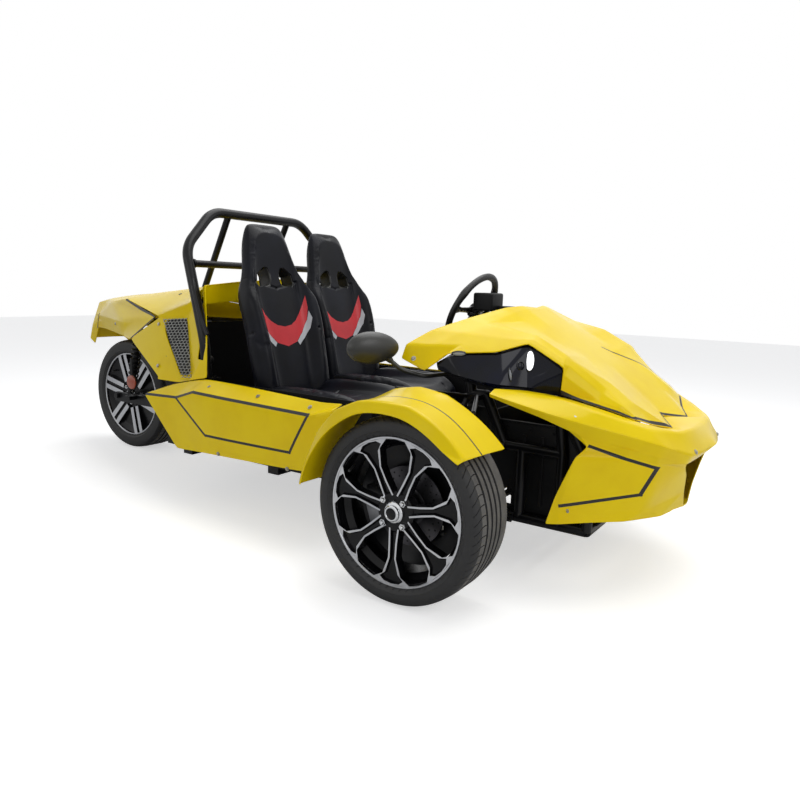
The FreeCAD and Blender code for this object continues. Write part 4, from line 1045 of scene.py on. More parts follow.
@dataclass
class Brake:
    """Cross-drilled disc with its caliper and, at the front, its dust shield."""

    place: str
    side: int
    holder: str
    turn: float = 0.0
    thick: float = 5 * MM
    holes: int = 24

    @property
    def outboard(self) -> Matrix:
        """Turn that takes Z to the outboard side."""
        return UP.rotation_difference(Vector((0, self.side, 0))).to_matrix().to_4x4()

    def disc(self) -> None:
        """Disc with two rings of holes, drawn as black plugs through the disc: painted shade where the holes are.
        """
        low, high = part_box("disc_" + self.place)
        centre = (low + high) / 2
        outer = (high.z - low.z) / 2
        bm = bmesh.new()
        half = self.thick / 2
        add_lathe(bm, [(62 * MM, -half), (outer, -half), (outer, half), (62 * MM, half), (62 * MM, -half)],
                  Matrix.Identity(4), 72)
        # Each hole is a black plug through the disc, painted shade standing in for the hole.
        for ring, radius in enumerate((outer - 14 * MM, outer - 30 * MM)):
            for k in range(self.holes):
                angle = (k + ring * 0.5) * math.tau / self.holes
                spot = Vector((math.cos(angle) * radius, math.sin(angle) * radius, 0))
                set_index(add_rod(bm, spot + Vector((0, 0, -2.7 * MM)), spot + Vector((0, 0, 2.7 * MM)),
                                  3.2 * MM, 10), 1)
        add_lathe(bm, [(40 * MM, 3 * MM), (60 * MM, 3 * MM), (66 * MM, 0), (66 * MM, -half),
                       (40 * MM, -half), (40 * MM, 3 * MM)], Matrix.Identity(4), 48)
        bmesh.ops.transform(bm, matrix=Matrix.Translation(centre - Vector((0, self.side * 1 * MM,
                                                                           0))) @ self.outboard,
                            verts=bm.verts)
        publish("drilled_disc_" + self.place, bm, (DISC_IRON, ABS), "wheel_" + self.place,
                ("disc_" + self.place,))

    def caliper(self) -> None:
        """Two-piston caliper over the rear of the disc."""
        low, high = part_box("disc_" + self.place)
        centre = (low + high) / 2
        outer = (high.z - low.z) / 2
        bm = bmesh.new()
        for face in (-1, 1):
            add_block(bm, mm(-34, face * 22 - 8, outer / MM - 48), mm(34, face * 22 + 8, outer / MM + 16),
                      4 * MM)
        add_block(bm, mm(-26, -26, outer / MM + 7), mm(26, 26, outer / MM + 17), 3 * MM)
        for x in (-16, 16):
            add_rod(bm, mm(x, 28, outer / MM - 18), mm(x, 36, outer / MM - 18), 12 * MM, 20, edge=2 * MM)
        bmesh.ops.transform(bm, matrix=Matrix.Translation(centre) @ Matrix.Rotation(self.turn, 4, "Y"),
                            verts=bm.verts)
        publish("caliper_" + self.place, bm, (CAST,), self.holder)

    def shield(self) -> None:
        """Pressed dust shield inboard of the disc, with a rolled rim."""
        low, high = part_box("disc_" + self.place)
        bm = bmesh.new()
        face = [(58, 0), (60, 1.5), (150, 1.5), (158, 5), (188, 5), (194, 9), (196, 9), (196, 7), (190, 3),
                (158, 3), (150, -0.5), (58, -0.5), (58, 0)]
        inboard = (low.y + high.y) / 2 - self.side * 22 * MM
        place = Matrix.Translation(Vector(((low.x + high.x) / 2, inboard,
                                           (low.z + high.z) / 2))) @ self.outboard
        add_lathe(bm, [(a * MM, b * MM) for a, b in face], place, 64)
        publish("dust_shield_" + self.place, bm, (POWDER_COAT,), self.holder)

    def build(self) -> None:
        """Builds disc and caliper, and a shield where a knuckle holds them."""
        self.disc()
        self.caliper()
        if self.holder != "root":
            self.shield()


def wheels() -> None:
    """Tyres, wheels and brakes of all three corners."""
    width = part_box("tyre_front_left")
    rear_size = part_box("tyre_rear")
    for side in Side:
        place = "front_" + side.word
        Tyre(place, side.value, (width[1].z - width[0].z) / 2, width[1].y - width[0].y).build()
        FrontWheel(place, side.value, 4).build()
        Brake(place, side.value, "knuckle_" + side.word, turn=-1.9).build()
    Tyre("rear", -1, (rear_size[1].z - rear_size[0].z) / 2, rear_size[1].y - rear_size[0].y).build()
    RearWheel("rear", -1, 5).build()
    Brake("rear", -1, "root", turn=2.2).build()


# ------------------------------------------------------------------ seats
Loop = Sequence[tuple[float, float]]


def add_loft(bm: Mesh, rings: Sequence[Sequence[Vector]]) -> None:
    """Adds a closed form through rings of equal length, with both ends closed."""
    loops: list[list[bmesh.types.BMEdge]] = []
    for ring in rings:
        verts = [bm.verts.new(p) for p in ring]
        loops.append([bm.edges.new(pair) for pair in ring_pairs(verts)])
    for first, second in zip(loops, loops[1:]):
        bmesh.ops.bridge_loops(bm, edges=first + second)
    for loop in (loops[0], loops[-1]):
        bmesh.ops.contextual_create(bm, geom=loop)
    bmesh.ops.recalc_face_normals(bm, faces=bm.faces)


def inflated(bm: Mesh, voxel: float, cap: float, pressure: float = 4.0,
             frames: int = 20) -> Mesh:
    """The form blown up like a stuffed cover, by a cloth simulation whose result is kept.

    Args:
        bm: closed form, which is freed.
        voxel: size of its cells before the simulation.
        cap: longest way that a point may move.
        pressure: pressure of the filling.
        frames: steps of the simulation.

    Returns:
        A new mesh.
    """
    bm = evaluated(bm, [("REMESH", {"mode": "VOXEL", "voxel_size": voxel, "use_smooth_shade": True})])
    rest = [v.co.copy() for v in bm.verts]
    mesh = bpy.data.meshes.new("work")
    bm.to_mesh(mesh)
    bm.free()
    work = bpy.data.objects.new("work", mesh)
    bpy.context.scene.collection.objects.link(work)
    cloth = work.modifiers.new("cover", "CLOTH")
    cloth.settings.quality = 4
    cloth.settings.use_pressure = True
    cloth.settings.uniform_pressure_force = pressure
    cloth.settings.effector_weights.gravity = 0.0
    cloth.settings.tension_stiffness = 25.0
    cloth.settings.compression_stiffness = 25.0
    cloth.settings.bending_stiffness = 2.0
    cloth.collision_settings.use_collision = False
    cloth.point_cache.frame_start, cloth.point_cache.frame_end = 1, frames
    scene = bpy.context.scene
    for step in range(1, frames + 1):
        scene.frame_set(step)
    result = bmesh.new()
    result.from_object(work, bpy.context.evaluated_depsgraph_get())
    bpy.data.objects.remove(work)
    bpy.data.meshes.remove(mesh)
    scene.frame_set(1)
    for vert, start in zip(result.verts, rest):
        moved = vert.co - start
        if moved.length > cap:
            vert.co = start + moved.normalized() * cap
    return subdivided(result, 1)


def inside(loop: Loop, u: float, w: float) -> bool:
    """Whether a point lies in a closed outline."""
    count = False
    for (u0, w0), (u1, w1) in ring_pairs(loop):
        if (w0 > w) != (w1 > w) and u < (u1 - u0) * (w - w0) / (w1 - w0) + u0:
            count = not count
    return count


def outline_faces(bm: Mesh, loop: Loop, facing: float = 0.0) -> list[bmesh.types.BMFace]:
    """Cuts an outline, given as (Y, Z), through the mesh along X and returns the faces inside it.

    Args:
        bm: mesh to cut.
        loop: closed outline.
        facing: with 1 only faces that look along +X count, with 0 all of them.

    Returns:
        The faces inside the outline.
    """
    reach = 14 * MM
    for (u0, w0), (u1, w1) in ring_pairs(loop):
        start, way = Vector((0, u0, w0)), Vector((0, u1 - u0, w1 - w0))
        length = way.length
        way.normalize()
        side = Vector((1, 0, 0)).cross(way)
        near = []
        for face in bm.faces:
            spot = face.calc_center_median() - start
            spot.x = 0
            if -reach < spot.dot(way) < length + reach and abs(spot.dot(side)) < reach and \
                    face.normal.x * facing >= 0:
                near.append(face)
        geom = near + list({e for f in near for e in f.edges}) + list({v for f in near for v in f.verts})
        bmesh.ops.bisect_plane(bm, geom=geom, plane_co=start, plane_no=side, dist=MERGE)
    found = []
    for face in bm.faces:
        spot = face.calc_center_median()
        if inside(loop, spot.y,
                  spot.z) and face.normal.x * facing >= 0 and (facing == 0 or face.normal.x > 0.1):
            found.append(face)
    return found


def groove(bm: Mesh, start: Vector, end: Vector, width: float, depth: float) -> None:
    """Sinks a sewn seam into the cover, along the line between two points."""
    way = end - start
    length = way.length
    way.normalize()
    for vert in bm.verts:
        along = (vert.co - start).dot(way)
        if -width < along < length + width:
            off = (vert.co - start - way * min(max(along, 0.0), length)).length
            if off < width:
                vert.co -= vert.normal * depth * (0.5 + 0.5 * math.cos(off / width * math.pi))


@dataclass
class Seats:
    """Two bucket seats: reclined backs with wings and harness slots, and bolstered cushions."""

    recline: float = 13.0
    plinth: float = 130 * MM
    length: float = 520 * MM
    voxel: float = 6 * MM
    cap: float = 9 * MM
    # height on the back, half width, crest of the wing, its depth, foot of the wing, depths there and
    # in the middle
    rows: tuple[tuple[float, ...], ...] = (
        (12, 190, 166, 52, 128, 6, 0), (60, 199, 171, 66, 128, 4, 0), (130, 201, 173, 72, 128, 4, 2),
        (250, 203, 177, 76, 134, 2, 4), (345, 205, 180, 76, 140, -2, 2), (362, 205, 181, 74, 141, -3, 2),
        (430, 208, 184, 70, 146, -6, 0), (495, 210, 188, 58, 152, -8, -4), (540, 204, 186, 38, 152, -12, -10),
        (580, 186, 170, 18, 142, -14, -14), (620, 168, 153, 6, 126, -12, -14),
        (690, 150, 134, 2, 110, -3, -4),
        (760, 132, 116, 1, 94, 0, -1), (815, 114, 99, -2, 80, -2, -3), (838, 96, 82, -8, 66, -8, -9),
        (846, 74, 62, -20, 50, -20, -20))
    # shoulder harness slot, right half: (Y, Z)
    slot: tuple[tuple[float, float], ...] = ((30, 571), (27, 612), (38, 640), (62, 643), (108, 611),
                                             (115, 566), (104, 553), (46, 558))
    badge: tuple[tuple[float, float], ...] = (
        (150, 512), (131, 470), (108, 432), (80, 402), (45, 382), (0, 374), (-45, 382), (-80, 402),
        (-108, 432),
        (-131, 470), (-150, 512), (-147, 455), (-135, 400), (-105, 345), (-62, 304), (0, 286), (62, 304),
        (105, 345), (135, 400), (147, 455))
    edge_strip: tuple[tuple[float, float], ...] = ((147, 440), (135, 398), (105, 344), (66, 305), (78, 288),
                                                   (112, 318), (139, 360), (152, 405))

    def back_form(self) -> Mesh:
        """Rough closed form of the back, in the seat's own frame with X ahead and Z up the back."""
        rings = []
        for z, half, crest, ahead, foot, low, mid in self.rows:
            rear_face = -62.0 if z < 800 else -48.0 if z < 842 else -38.0
            right = [(low * 0.3 + mid * 0.7, foot * 0.45), (low, foot * 0.82),
                     (low + (ahead - low) * 0.35, foot),
                     (ahead, crest - 12), (ahead - 4, crest + 10), (ahead - 22, half),
                     ((ahead + rear_face) / 2, half + 1),
                     (rear_face + 16, half - 3), (rear_face, half - 22), (rear_face - 4, half * 0.45)]
            ring = [(mid, 0.0)] + right + [(rear_face - 5, 0.0)] + [(x, -y) for x, y in reversed(right)]
            rings.append([mm(x, y, z) for x, y in ring])
        bm = bmesh.new()
        add_loft(bm, rings)
        return subdivided(bm, 2)

    def cushion_form(self) -> Mesh:
        """Rough closed form of the cushion, with X ahead and its underside at zero."""
        rings = []
        for x, wing, top, drop in ((-50, 150, 112, 0), (20, 192, 124, 0), (150, 203, 136, 0),
                                   (300, 203, 143, 0),
                                   (400, 196, 146, 0), (460, 176, 146, 0), (496, 150, 136, 4),
                                   (512, 118, 108, 14)):
            right = [(60, top - 2), (112, top + 2), (134, top + (wing - top) * 0.3), (156, wing - 3),
                     (186, wing),
                     (203, wing - 22), (206, max(60, wing / 2)), (203, 22 + drop), (186, 6 + drop),
                     (90, 4 + drop)]
            ring = [(0.0, top)] + right + [(0.0, 4.0 + drop)] + [(-y, z) for y, z in reversed(right)]
            rings.append([mm(x, y, z) for y, z in ring])
        bm = bmesh.new()
        add_loft(bm, rings)
        return subdivided(bm, 2)

    def back(self) -> Mesh:
        """Finished back: stuffed, sewn, inlaid and with its two harness slots open."""
        bm = inflated(self.back_form(), self.voxel, self.cap)
        bm.normal_update()
        for side in (-1, 1):
            for start, end in (((80, 150, 358), (20, 212, 350)), ((20, 212, 350), (-50, 212, 345)),
                               ((0, 128, 575), (0, 128, 20)), ((30, 176, 588), (-50, 180, 596)),
                               ((-2, 118, 575), (-6, 0, 548))):
                groove(bm, mm(start[0], side * start[1], start[2]),
                       mm(end[0], side * end[1], end[2]), 11 * MM, 5 * MM)
        scaled = [(y * MM, z * MM) for y, z in self.badge]
        for face in outline_faces(bm, scaled, 1.0):
            face.material_index = 1
        for side in (-1, 1):
            strip = [(side * y * MM, z * MM) for y, z in self.edge_strip]
            for face in outline_faces(bm, strip, 1.0):
                if face.material_index == 0:
                    face.material_index = 2
        for side in (-1, 1):
            loop = [(side * y * MM, z * MM) for y, z in self.slot]
            gone = outline_faces(bm, loop)
            bmesh.ops.delete(bm, geom=gone, context="FACES")
            rims = [e for e in bm.edges if e.is_boundary]
            bmesh.ops.bridge_loops(bm, edges=rims)
        bmesh.ops.recalc_face_normals(bm, faces=bm.faces)
        for face in bm.faces:
            if face.normal.x < -0.55 and face.calc_center_median().x < -40 * MM:
                face.material_index = 3
        return bm

    def bezels(self) -> Mesh:
        """Moulded frames in the harness slots."""
        bm = bmesh.new()
        for side in (-1, 1):
            outline = [Vector((0.0, side * y * MM, z * MM)) for y, z in self.slot]
            middle_point = sum(outline, Vector()) / len(outline)
            rings = []
            for ahead, grow in ((-4, 1.2), (4, 1.17), (5, 1.07), (1, 0.98), (-55, 0.96)):
                rings.append([middle_point + (p - middle_point) * grow + Vector(((ahead - 10) * MM, 0,
                                                                                 0)) for p in outline])
            loops = []
            for ring in rings:
                verts = [bm.verts.new(p) for p in ring]
                loops.append([bm.edges.new(pair) for pair in ring_pairs(verts)])
            for first, second in zip(loops, loops[1:]):
                bmesh.ops.bridge_loops(bm, edges=first + second)
        bmesh.ops.recalc_face_normals(bm, faces=bm.faces)
        return evaluated(bm, [("SOLIDIFY", {"thickness": 3 * MM, "offset": 0.0}),
                              ("BEVEL", {"width": 1.2 * MM, "segments": 2}),
                              ("SUBSURF", {"levels": 1, "render_levels": 1})])

    def cushion(self) -> Mesh:
        """Finished cushion with its lengthwise and cross seams."""
        bm = inflated(self.cushion_form(), self.voxel, self.cap)
        bm.normal_update()
        for side in (-1, 1):
            groove(bm, mm(0, side * 124, 132), mm(470, side * 124, 150), 11 * MM, 6 * MM)
            groove(bm, mm(470, side * 124, 150), mm(516, side * 110, 60), 11 * MM, 5 * MM)
        for x in (150, 300, 420):
            groove(bm, mm(x, -120, 146), mm(x, 120, 146), 9 * MM, 4 * MM)
        return bm

    def base(self, bm: Mesh) -> None:
        """Adds the moulded plinth and the two slide rails."""
        add_block(bm, mm(-38, -150, 16), mm(455, 150, 128), 10 * MM, 3)
        for y in (-118, 118):
            set_index(add_block(bm, mm(-60, y - 20, 0.4), mm(470, y + 20, 12), 2 * MM), 1)
            set_index(add_block(bm, mm(-50, y - 12, 11), mm(460, y + 12, 22), 2 * MM), 1)

    def build(self) -> None:
        """Builds both seats from one back and one cushion."""
        forms = {"seat_back": self.back(), "seat_cushion": self.cushion(), "seat_bezels": self.bezels()}
        for side in Side:
            low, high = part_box("seat_" + side.word)
            foot = Vector((high.x - self.length, (low.y + high.y) / 2, low.z))
            lean = Matrix.Translation(foot + Vector((0, 0, self.plinth + 60 * MM))) @ \
                Matrix.Rotation(math.radians(-self.recline), 4, "Y")
            level = Matrix.Translation(foot + Vector((0, 0, self.plinth)))
            node = ("seat_" + side.word,)
            for name, place, finishes, fill in (
                    ("seat_back", lean, (VINYL, RED_VINYL, WHITE_VINYL, SHELL_ABS), 0.85),
                    ("seat_cushion", level, (VINYL,), 0.8), ("seat_bezels", lean, (SHELL_ABS,), 0.0)):
                copy = forms[name].copy()
                bmesh.ops.transform(copy, matrix=place, verts=copy.verts)
                piece = publish(name + "_" + side.word, copy, finishes, stands_for=node, fold=60.0)
            bm = bmesh.new()
            self.base(bm)
            bmesh.ops.translate(bm, verts=bm.verts, vec=foot)
            publish("seat_base_" + side.word, bm, (ABS, ZINC), stands_for=node)
        for form in forms.values():
            form.free()


# ------------------------------------------------------------------ cockpit
@dataclass
class Cockpit:
    """Steering wheel, instrument hood, and what carries them."""

    hub: tuple[float, float, float] = (-340.0, 240.0, 900.0)
    rake: float = 62.0
    rim: float = 160 * MM
    grip: float = 15 * MM

    def tilt(self) -> Matrix:
        """Placement at the hub whose Z looks at the driver and whose X points up the wheel."""
        rake = math.radians(self.rake)
        toward = Vector((-math.sin(rake), 0, math.cos(rake)))
        up = Vector((math.cos(rake), 0, math.sin(rake)))
        place = Matrix((up, toward.cross(up), toward)).transposed().to_4x4()
        place.translation = front(*self.hub)
        return place

    def wheel(self) -> None:
        """Leather rim with thumb rests and stitching, three drilled spokes whose holes are black plugs of painted
        shade, and a plain boss.
        """
        bm = bmesh.new()
        section = [(self.rim + math.cos(a) * self.grip * 1.02, math.sin(a) * self.grip * 0.94)
                   for a in (k * math.tau / 16 for k in range(17))]
        rim = add_lathe(bm, section, Matrix.Identity(4), 96)
        for vert in rim:
            turn = abs(math.atan2(vert.co.y, vert.co.x))
            swell = math.exp(-((turn - math.radians(62)) / 0.16) ** 2)
            centre = Vector((vert.co.x, vert.co.y, 0)).normalized() * self.rim
            vert.co = centre + (vert.co - centre) * (1.0 + 0.16 * swell)
        set_index(rim, 0)
        seam = [(self.rim - self.grip * 1.03 + math.cos(a) * 1.1 * MM, math.sin(a) * 1.1 * MM)
                for a in (k * math.tau / 6 for k in range(7))]
        set_index(add_lathe(bm, seam, Matrix.Identity(4), 96), 3)
        for turn in (90, 180, 270):
            spoke = bmesh.new()
            outline = [Vector(p) * MM for p in ((24, -20, -11), (70, -13, -9), (120, -12, -6),
                                                (152, -20, -3), (152, 20, -3),
                                                (120, 12, -6), (70, 13, -9), (24, 20, -11))]
            add_slab(spoke, outline, Vector((0, 0, -4 * MM)), 0.8 * MM)
            # Each drilled hole is a black plug through the spoke, painted shade standing in for the hole.
            for x in (62, 88, 114):
                set_index(add_rod(spoke, mm(x, 0, -15), mm(x, 0, -1.5), 5.2 * MM, 20,
                                  edge=0.6 * MM), 2)
            turn_about_z(spoke, math.radians(turn))
            for face in spoke.faces:
                face.material_index = 2 if face.material_index == 2 else 1
            mesh = bpy.data.meshes.new("work")
            spoke.to_mesh(mesh)
            spoke.free()
            bm.from_mesh(mesh)
            bpy.data.meshes.remove(mesh)
        set_index(add_lathe(bm, [(0, 8 * MM), (18 * MM, 7 * MM), (25 * MM, 4 * MM), (27 * MM, 0),
                                 (36 * MM, -3 * MM),
                                 (37 * MM, -12 * MM), (33 * MM, -40 * MM), (0, -40 * MM)],
                            Matrix.Identity(4), 40), 2)
        for k in range(6):
            angle = (k + 0.5) * math.tau / 6
            spot = Vector((math.cos(angle) * 31, math.sin(angle) * 31, -4)) * MM
            set_index(add_rod(bm, spot, spot + Vector((0, 0, 4 * MM)), 2.6 * MM, 12, edge=0.5 * MM), 3)
        set_index(add_rod(bm, Vector((0, 0, -39 * MM)), Vector((0, 0, -134 * MM)), 11 * MM, 20), 3)
        bmesh.ops.transform(bm, matrix=self.tilt(), verts=bm.verts)
        publish("steering_wheel_rim", bm, (GRIP_LEATHER, MACHINED, ABS, ZINC), "steering_wheel",
                ("steering_wheel",), 40.0)

    def hood(self) -> None:
        """Instrument hood on its arm, with a dark display, and the beam and bracket below."""
        y = self.hub[1]
        bm = bmesh.new()
        low, high = front(-285, y - 100, 894), front(-192, y + 12, 972)
        shell = add_block(bm, low, high, 9 * MM, 4)
        set_index(shell, 0)
        back = [f for f in bm.faces if f.normal.x < -0.9 and f.calc_area() > 0.002]
        bmesh.ops.inset_region(bm, faces=back, thickness=5 * MM)
        bmesh.ops.inset_region(bm, faces=back, thickness=1.5 * MM, depth=-7 * MM)
        for face in back:
            face.material_index = 1
        for a, b, edge in ((front(-75, -400, 765.3), front(-20, 400, 830), 6 * MM),
                           (front(-130, y - 40, 765.3), front(-60, y + 40, 900), 5 * MM),
                           (front(-215, y - 50, 894), front(-60, y - 10, 918), 4 * MM)):
            add_block(bm, a, b, edge, 3)
        for k in range(4):
            spot = front(-286.5, y - 82 + k * 22, 903)
            set_index(add_rod(bm, spot + Vector((4 * MM, 0, 0)), spot, 4.5 * MM, 16, edge=0.8 * MM), 2)
        publish("instrument_hood", bm, (ABS, DISPLAY, ZINC), stands_for=("dashboard",), fold=40.0)

    def column(self) -> None:
        """Moulded collar and two stalks on the steering column."""
        bm = bmesh.new()
        place = self.tilt()
        collar = [(18 * MM, -62 * MM), (26 * MM, -64 * MM), (29 * MM, -72 * MM), (29 * MM, -98 * MM),
                  (24 * MM, -104 * MM), (18 * MM, -106 * MM)]
        add_lathe(bm, collar, place, 32)
        for side in (-1, 1):
            start = place @ Vector((0, side * 27 * MM, -84 * MM))
            end = place @ Vector((8 * MM, side * 96 * MM, -66 * MM))
            add_rod(bm, start, end, 4.2 * MM, 14, 0.9, 1 * MM)
            add_rod(bm, end, end + (end - start).normalized() * 26 * MM, 6.5 * MM, 16, 0.9, 2 * MM)
        publish("column_stalks", bm, (ABS,), fold=40.0)

    def build(self) -> None:
        """Builds the cockpit pieces."""
        self.wheel()
        self.hood()
        self.column()


@dataclass
class Mirrors:
    """Door mirrors: egg-shaped shells on bent stems, with flat glass behind."""

    centre: tuple[float, float, float] = (-196.0, 705.0, 787.0)
    half: tuple[float, float, float] = (36.0, 98.0, 55.0)
    sweep: float = 25.0

    def build(self) -> None:
        """Builds both mirrors."""
        for side in Side:
            bm = bmesh.new()
            bmesh.ops.create_uvsphere(bm, u_segments=40, v_segments=24, radius=1.0)
            for vert in bm.verts:
                blunt = 1.0 + 0.1 * vert.co.y
                below = 0.96 if vert.co.z < 0 else 1.0
                vert.co = mm(vert.co.x * self.half[0] * blunt, vert.co.y * self.half[1],
                             vert.co.z * self.half[2] * blunt * below) * 0.985
            geom = everything(bm)
            cut = bmesh.ops.bisect_plane(bm, geom=geom, plane_co=(-13 * MM, 0, 0), plane_no=(-1, 0, 0.05),
                                         clear_outer=True)["geom_cut"]
            rim = [g for g in cut if isinstance(g, bmesh.types.BMEdge)]
            glass = bmesh.ops.contextual_create(bm, geom=rim)["faces"]
            bmesh.ops.inset_region(bm, faces=glass, thickness=5 * MM)
            bmesh.ops.inset_region(bm, faces=glass, thickness=1 * MM, depth=-4 * MM)
            for face in glass:
                face.material_index = 1
            turn_about_z(bm, math.radians(self.sweep))
            bmesh.ops.translate(bm, verts=bm.verts, vec=front(*self.centre))
            x, y, z = self.centre
            route = [front(x + 10, y - 50, z - 25), front(-140, 617, 712), front(-85, 560, 692),
                     front(-45, 329, 690)]
            tube = add_tube(bm, route, 8 * MM, 16)
            boot = add_rod(bm, route[0], route[0] + (route[1] - route[0]).normalized() * 34 * MM, 15 * MM,
                           24, 0.62, 2 * MM)
            set_index(boot + tube, 0)
            if side is Side.RIGHT:
                bmesh.ops.scale(bm, vec=(1, -1, 1), verts=bm.verts)
            bmesh.ops.recalc_face_normals(bm, faces=bm.faces)
            publish("door_mirror_" + side.word, bm, (SHELL_ABS, CHROME), stands_for=("mirror_" + side.word,),
                    fold=50.0)


@dataclass
class Lamps:
    """Headlamp units on dark covers, the buckets behind them, and the side indicators."""

    main: tuple[float, float, float] = (232.0, 412.0, 760.0)
    bar: tuple[float, float, float] = (197.0, 486.0, 717.0)
    indicator: tuple[float, float, float] = (36.0, 541.0, 756.0)

    def lens(self, bm: Mesh, tree: BVHTree, place: Vector, size: tuple[float, float], index: int,
             lean: float = 0.0) -> None:
        """Adds an oval lamp in a dark bezel, set on the surface nearest to its place."""
        found = tree.find_nearest(place)
        spot, out = found[0], found[1]
        up = (Vector((0, 0, 1)) - out * out.z).normalized()
        up = Matrix.Rotation(lean, 3, out) @ up
        frame_here = Matrix((up.cross(out), up, out)).transposed().to_4x4()
        frame_here.translation = spot
        scale = Matrix.Diagonal((size[0], size[1], 1.0, 1.0))
        set_index(add_lathe(bm, [(1.12, -2 * MM), (1.12, 2.5 * MM), (1.02, 4 * MM), (0.97, 2 * MM),
                                 (0.97, -2 * MM)],
                            frame_here @ scale, 36), 1)
        set_index(add_lathe(bm, [(0.97, 1 * MM), (0.7, 3.5 * MM), (0.35, 4.8 * MM), (0, 5.2 * MM)],
                            frame_here @ scale, 36),
                  index)

    def build(self) -> None:
        """Builds the lamps of both sides."""
        for side in Side:
            node = "headlamp_" + side.word
            cover = cad_copy(node)
            bmesh.ops.join_triangles(cover, faces=cover.faces, angle_face_threshold=math.radians(20),
                                     angle_shape_threshold=math.radians(70))
            corner = cover.verts.layers.float.new("crease_vert")
            crease = cover.edges.layers.float.new("crease_edge")
            for edge in cover.edges:
                edge[crease] = 0.75 if math.degrees(edge.calc_face_angle(0.0)) > 14.0 else 0.3
            for vert in cover.verts:
                vert[corner] = 0.9
            cover = subdivided(cover, 2)
            tree = BVHTree.FromBMesh(cover)
            self.shroud(side)
            publish("lamp_cover_" + side.word, cover, (LENS,), stands_for=(node,), fold=30.0)
            bm = bmesh.new()
            self.lens(bm, tree, side.flip(front(*self.main)), (14 * MM, 34 * MM), 0, 0.1)
            self.lens(bm, tree, side.flip(front(206, 440, 742)), (13 * MM, 13 * MM), 2)
            self.lens(bm, tree, side.flip(front(*self.bar)), (6 * MM, 20 * MM), 3)
            publish("lamp_units_" + side.word, bm, (LIT_DIODE, DARK_RING, LENS, DIM_DIODE), fold=40.0)
            self.side_indicator(side)

    def shroud(self, side: Side) -> None:
        """Black bucket behind the cover, a little larger, that closes the bonnet's brow."""
        bm = cad_copy("headlamp_" + side.word)
        low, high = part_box("headlamp_" + side.word)
        centre = (low + high) / 2
        bmesh.ops.translate(bm, verts=bm.verts, vec=-centre)
        bmesh.ops.scale(bm, vec=(1.06, 1.0, 1.16), verts=bm.verts)
        bmesh.ops.translate(bm, verts=bm.verts, vec=centre - OUT[side] * 26 * MM - UP * 4 * MM)
        publish("lamp_bucket_" + side.word, bm, (ABS,), fold=30.0)

    def side_indicator(self, side: Side) -> None:
        """Clear indicator let into the bonnet's flank behind the lamp."""
        surface = BVHTree.FromBMesh(joined_panels(side))
        bm = bmesh.new()
        # The indicator's pale lens is painted reflection of a chromed bowl; no bowl is modelled.
        self.lens(bm, surface, side.flip(front(*self.indicator)), (22 * MM, 10 * MM), 0)
        publish("side_indicator_" + side.word, bm, (LENS_PAINTED_REFLECTION, DARK_RING), fold=40.0)


# ------------------------------------------------------------------ running gear
@dataclass
class Shock:
    """Coil-over damper between two eyes."""

    foot: Vector
    head: Vector
    coil: float
    body: float
    turns: int = 9
    wire: float = 5 * MM

    def add(self, bm: Mesh) -> None:
        """Adds the damper, its spring, its two cups and its eyes."""
        length = (self.head - self.foot).length
        place = frame_along(self.foot, self.head)
        ring = bmesh.ops.create_circle(bm, segments=10, radius=self.wire,
                                       matrix=Matrix.Translation((self.coil - self.wire, 0, length * 0.2))
                                       @ Matrix.Rotation(math.pi / 2, 4, "X"))["verts"]
        edges = list({e for v in ring for e in v.link_edges})
        steps = self.turns * 18
        before = set(bm.verts) - set(ring)
        bmesh.ops.spin(bm, geom=ring + edges, cent=(0, 0, 0), axis=(0, 0, 1), angle=self.turns * math.tau,
                       steps=steps, dvec=Vector((0, 0, length * 0.62 / steps)), use_merge=False)
        spring = [v for v in bm.verts if v not in before]
        bmesh.ops.recalc_face_normals(bm, faces=list({f for v in spring for f in v.link_faces}))
        bmesh.ops.transform(bm, matrix=place, verts=spring)
        set_index(spring, 0)
        for z, radius in ((0.185, 1.02), (0.83, 1.02)):
            cup = [(0, length * z - 4 * MM), (self.coil * radius, length * z - 4 * MM),
                   (self.coil * radius, length * z + 3 * MM),
                   (self.coil * 0.7, length * z + 5 * MM), (0, length * z + 5 * MM)]
            set_index(add_lathe(bm, cup, place, 32), 1)
        tube = [(0, length * 0.06), (self.body * 0.95, length * 0.06), (self.body, length * 0.1),
                (self.body, length * 0.62),
                (self.body * 0.5, length * 0.64), (self.body * 0.42, length * 0.95), (0, length * 0.95)]
        set_index(add_lathe(bm, tube, place, 28), 1)
        for end, way in ((self.foot, 1), (self.head, -1)):
            spot = end + (self.head - self.foot).normalized() * way * 14 * MM
            axis = Vector((1, 0, 0))
            set_index(add_rod(bm, spot - axis * 13 * MM, spot + axis * 13 * MM, 15 * MM, 24, edge=2 * MM), 1)
            set_index(add_rod(bm, spot - axis * 18 * MM, spot + axis * 18 * MM, 7 * MM, 6, edge=0.8 * MM), 2)


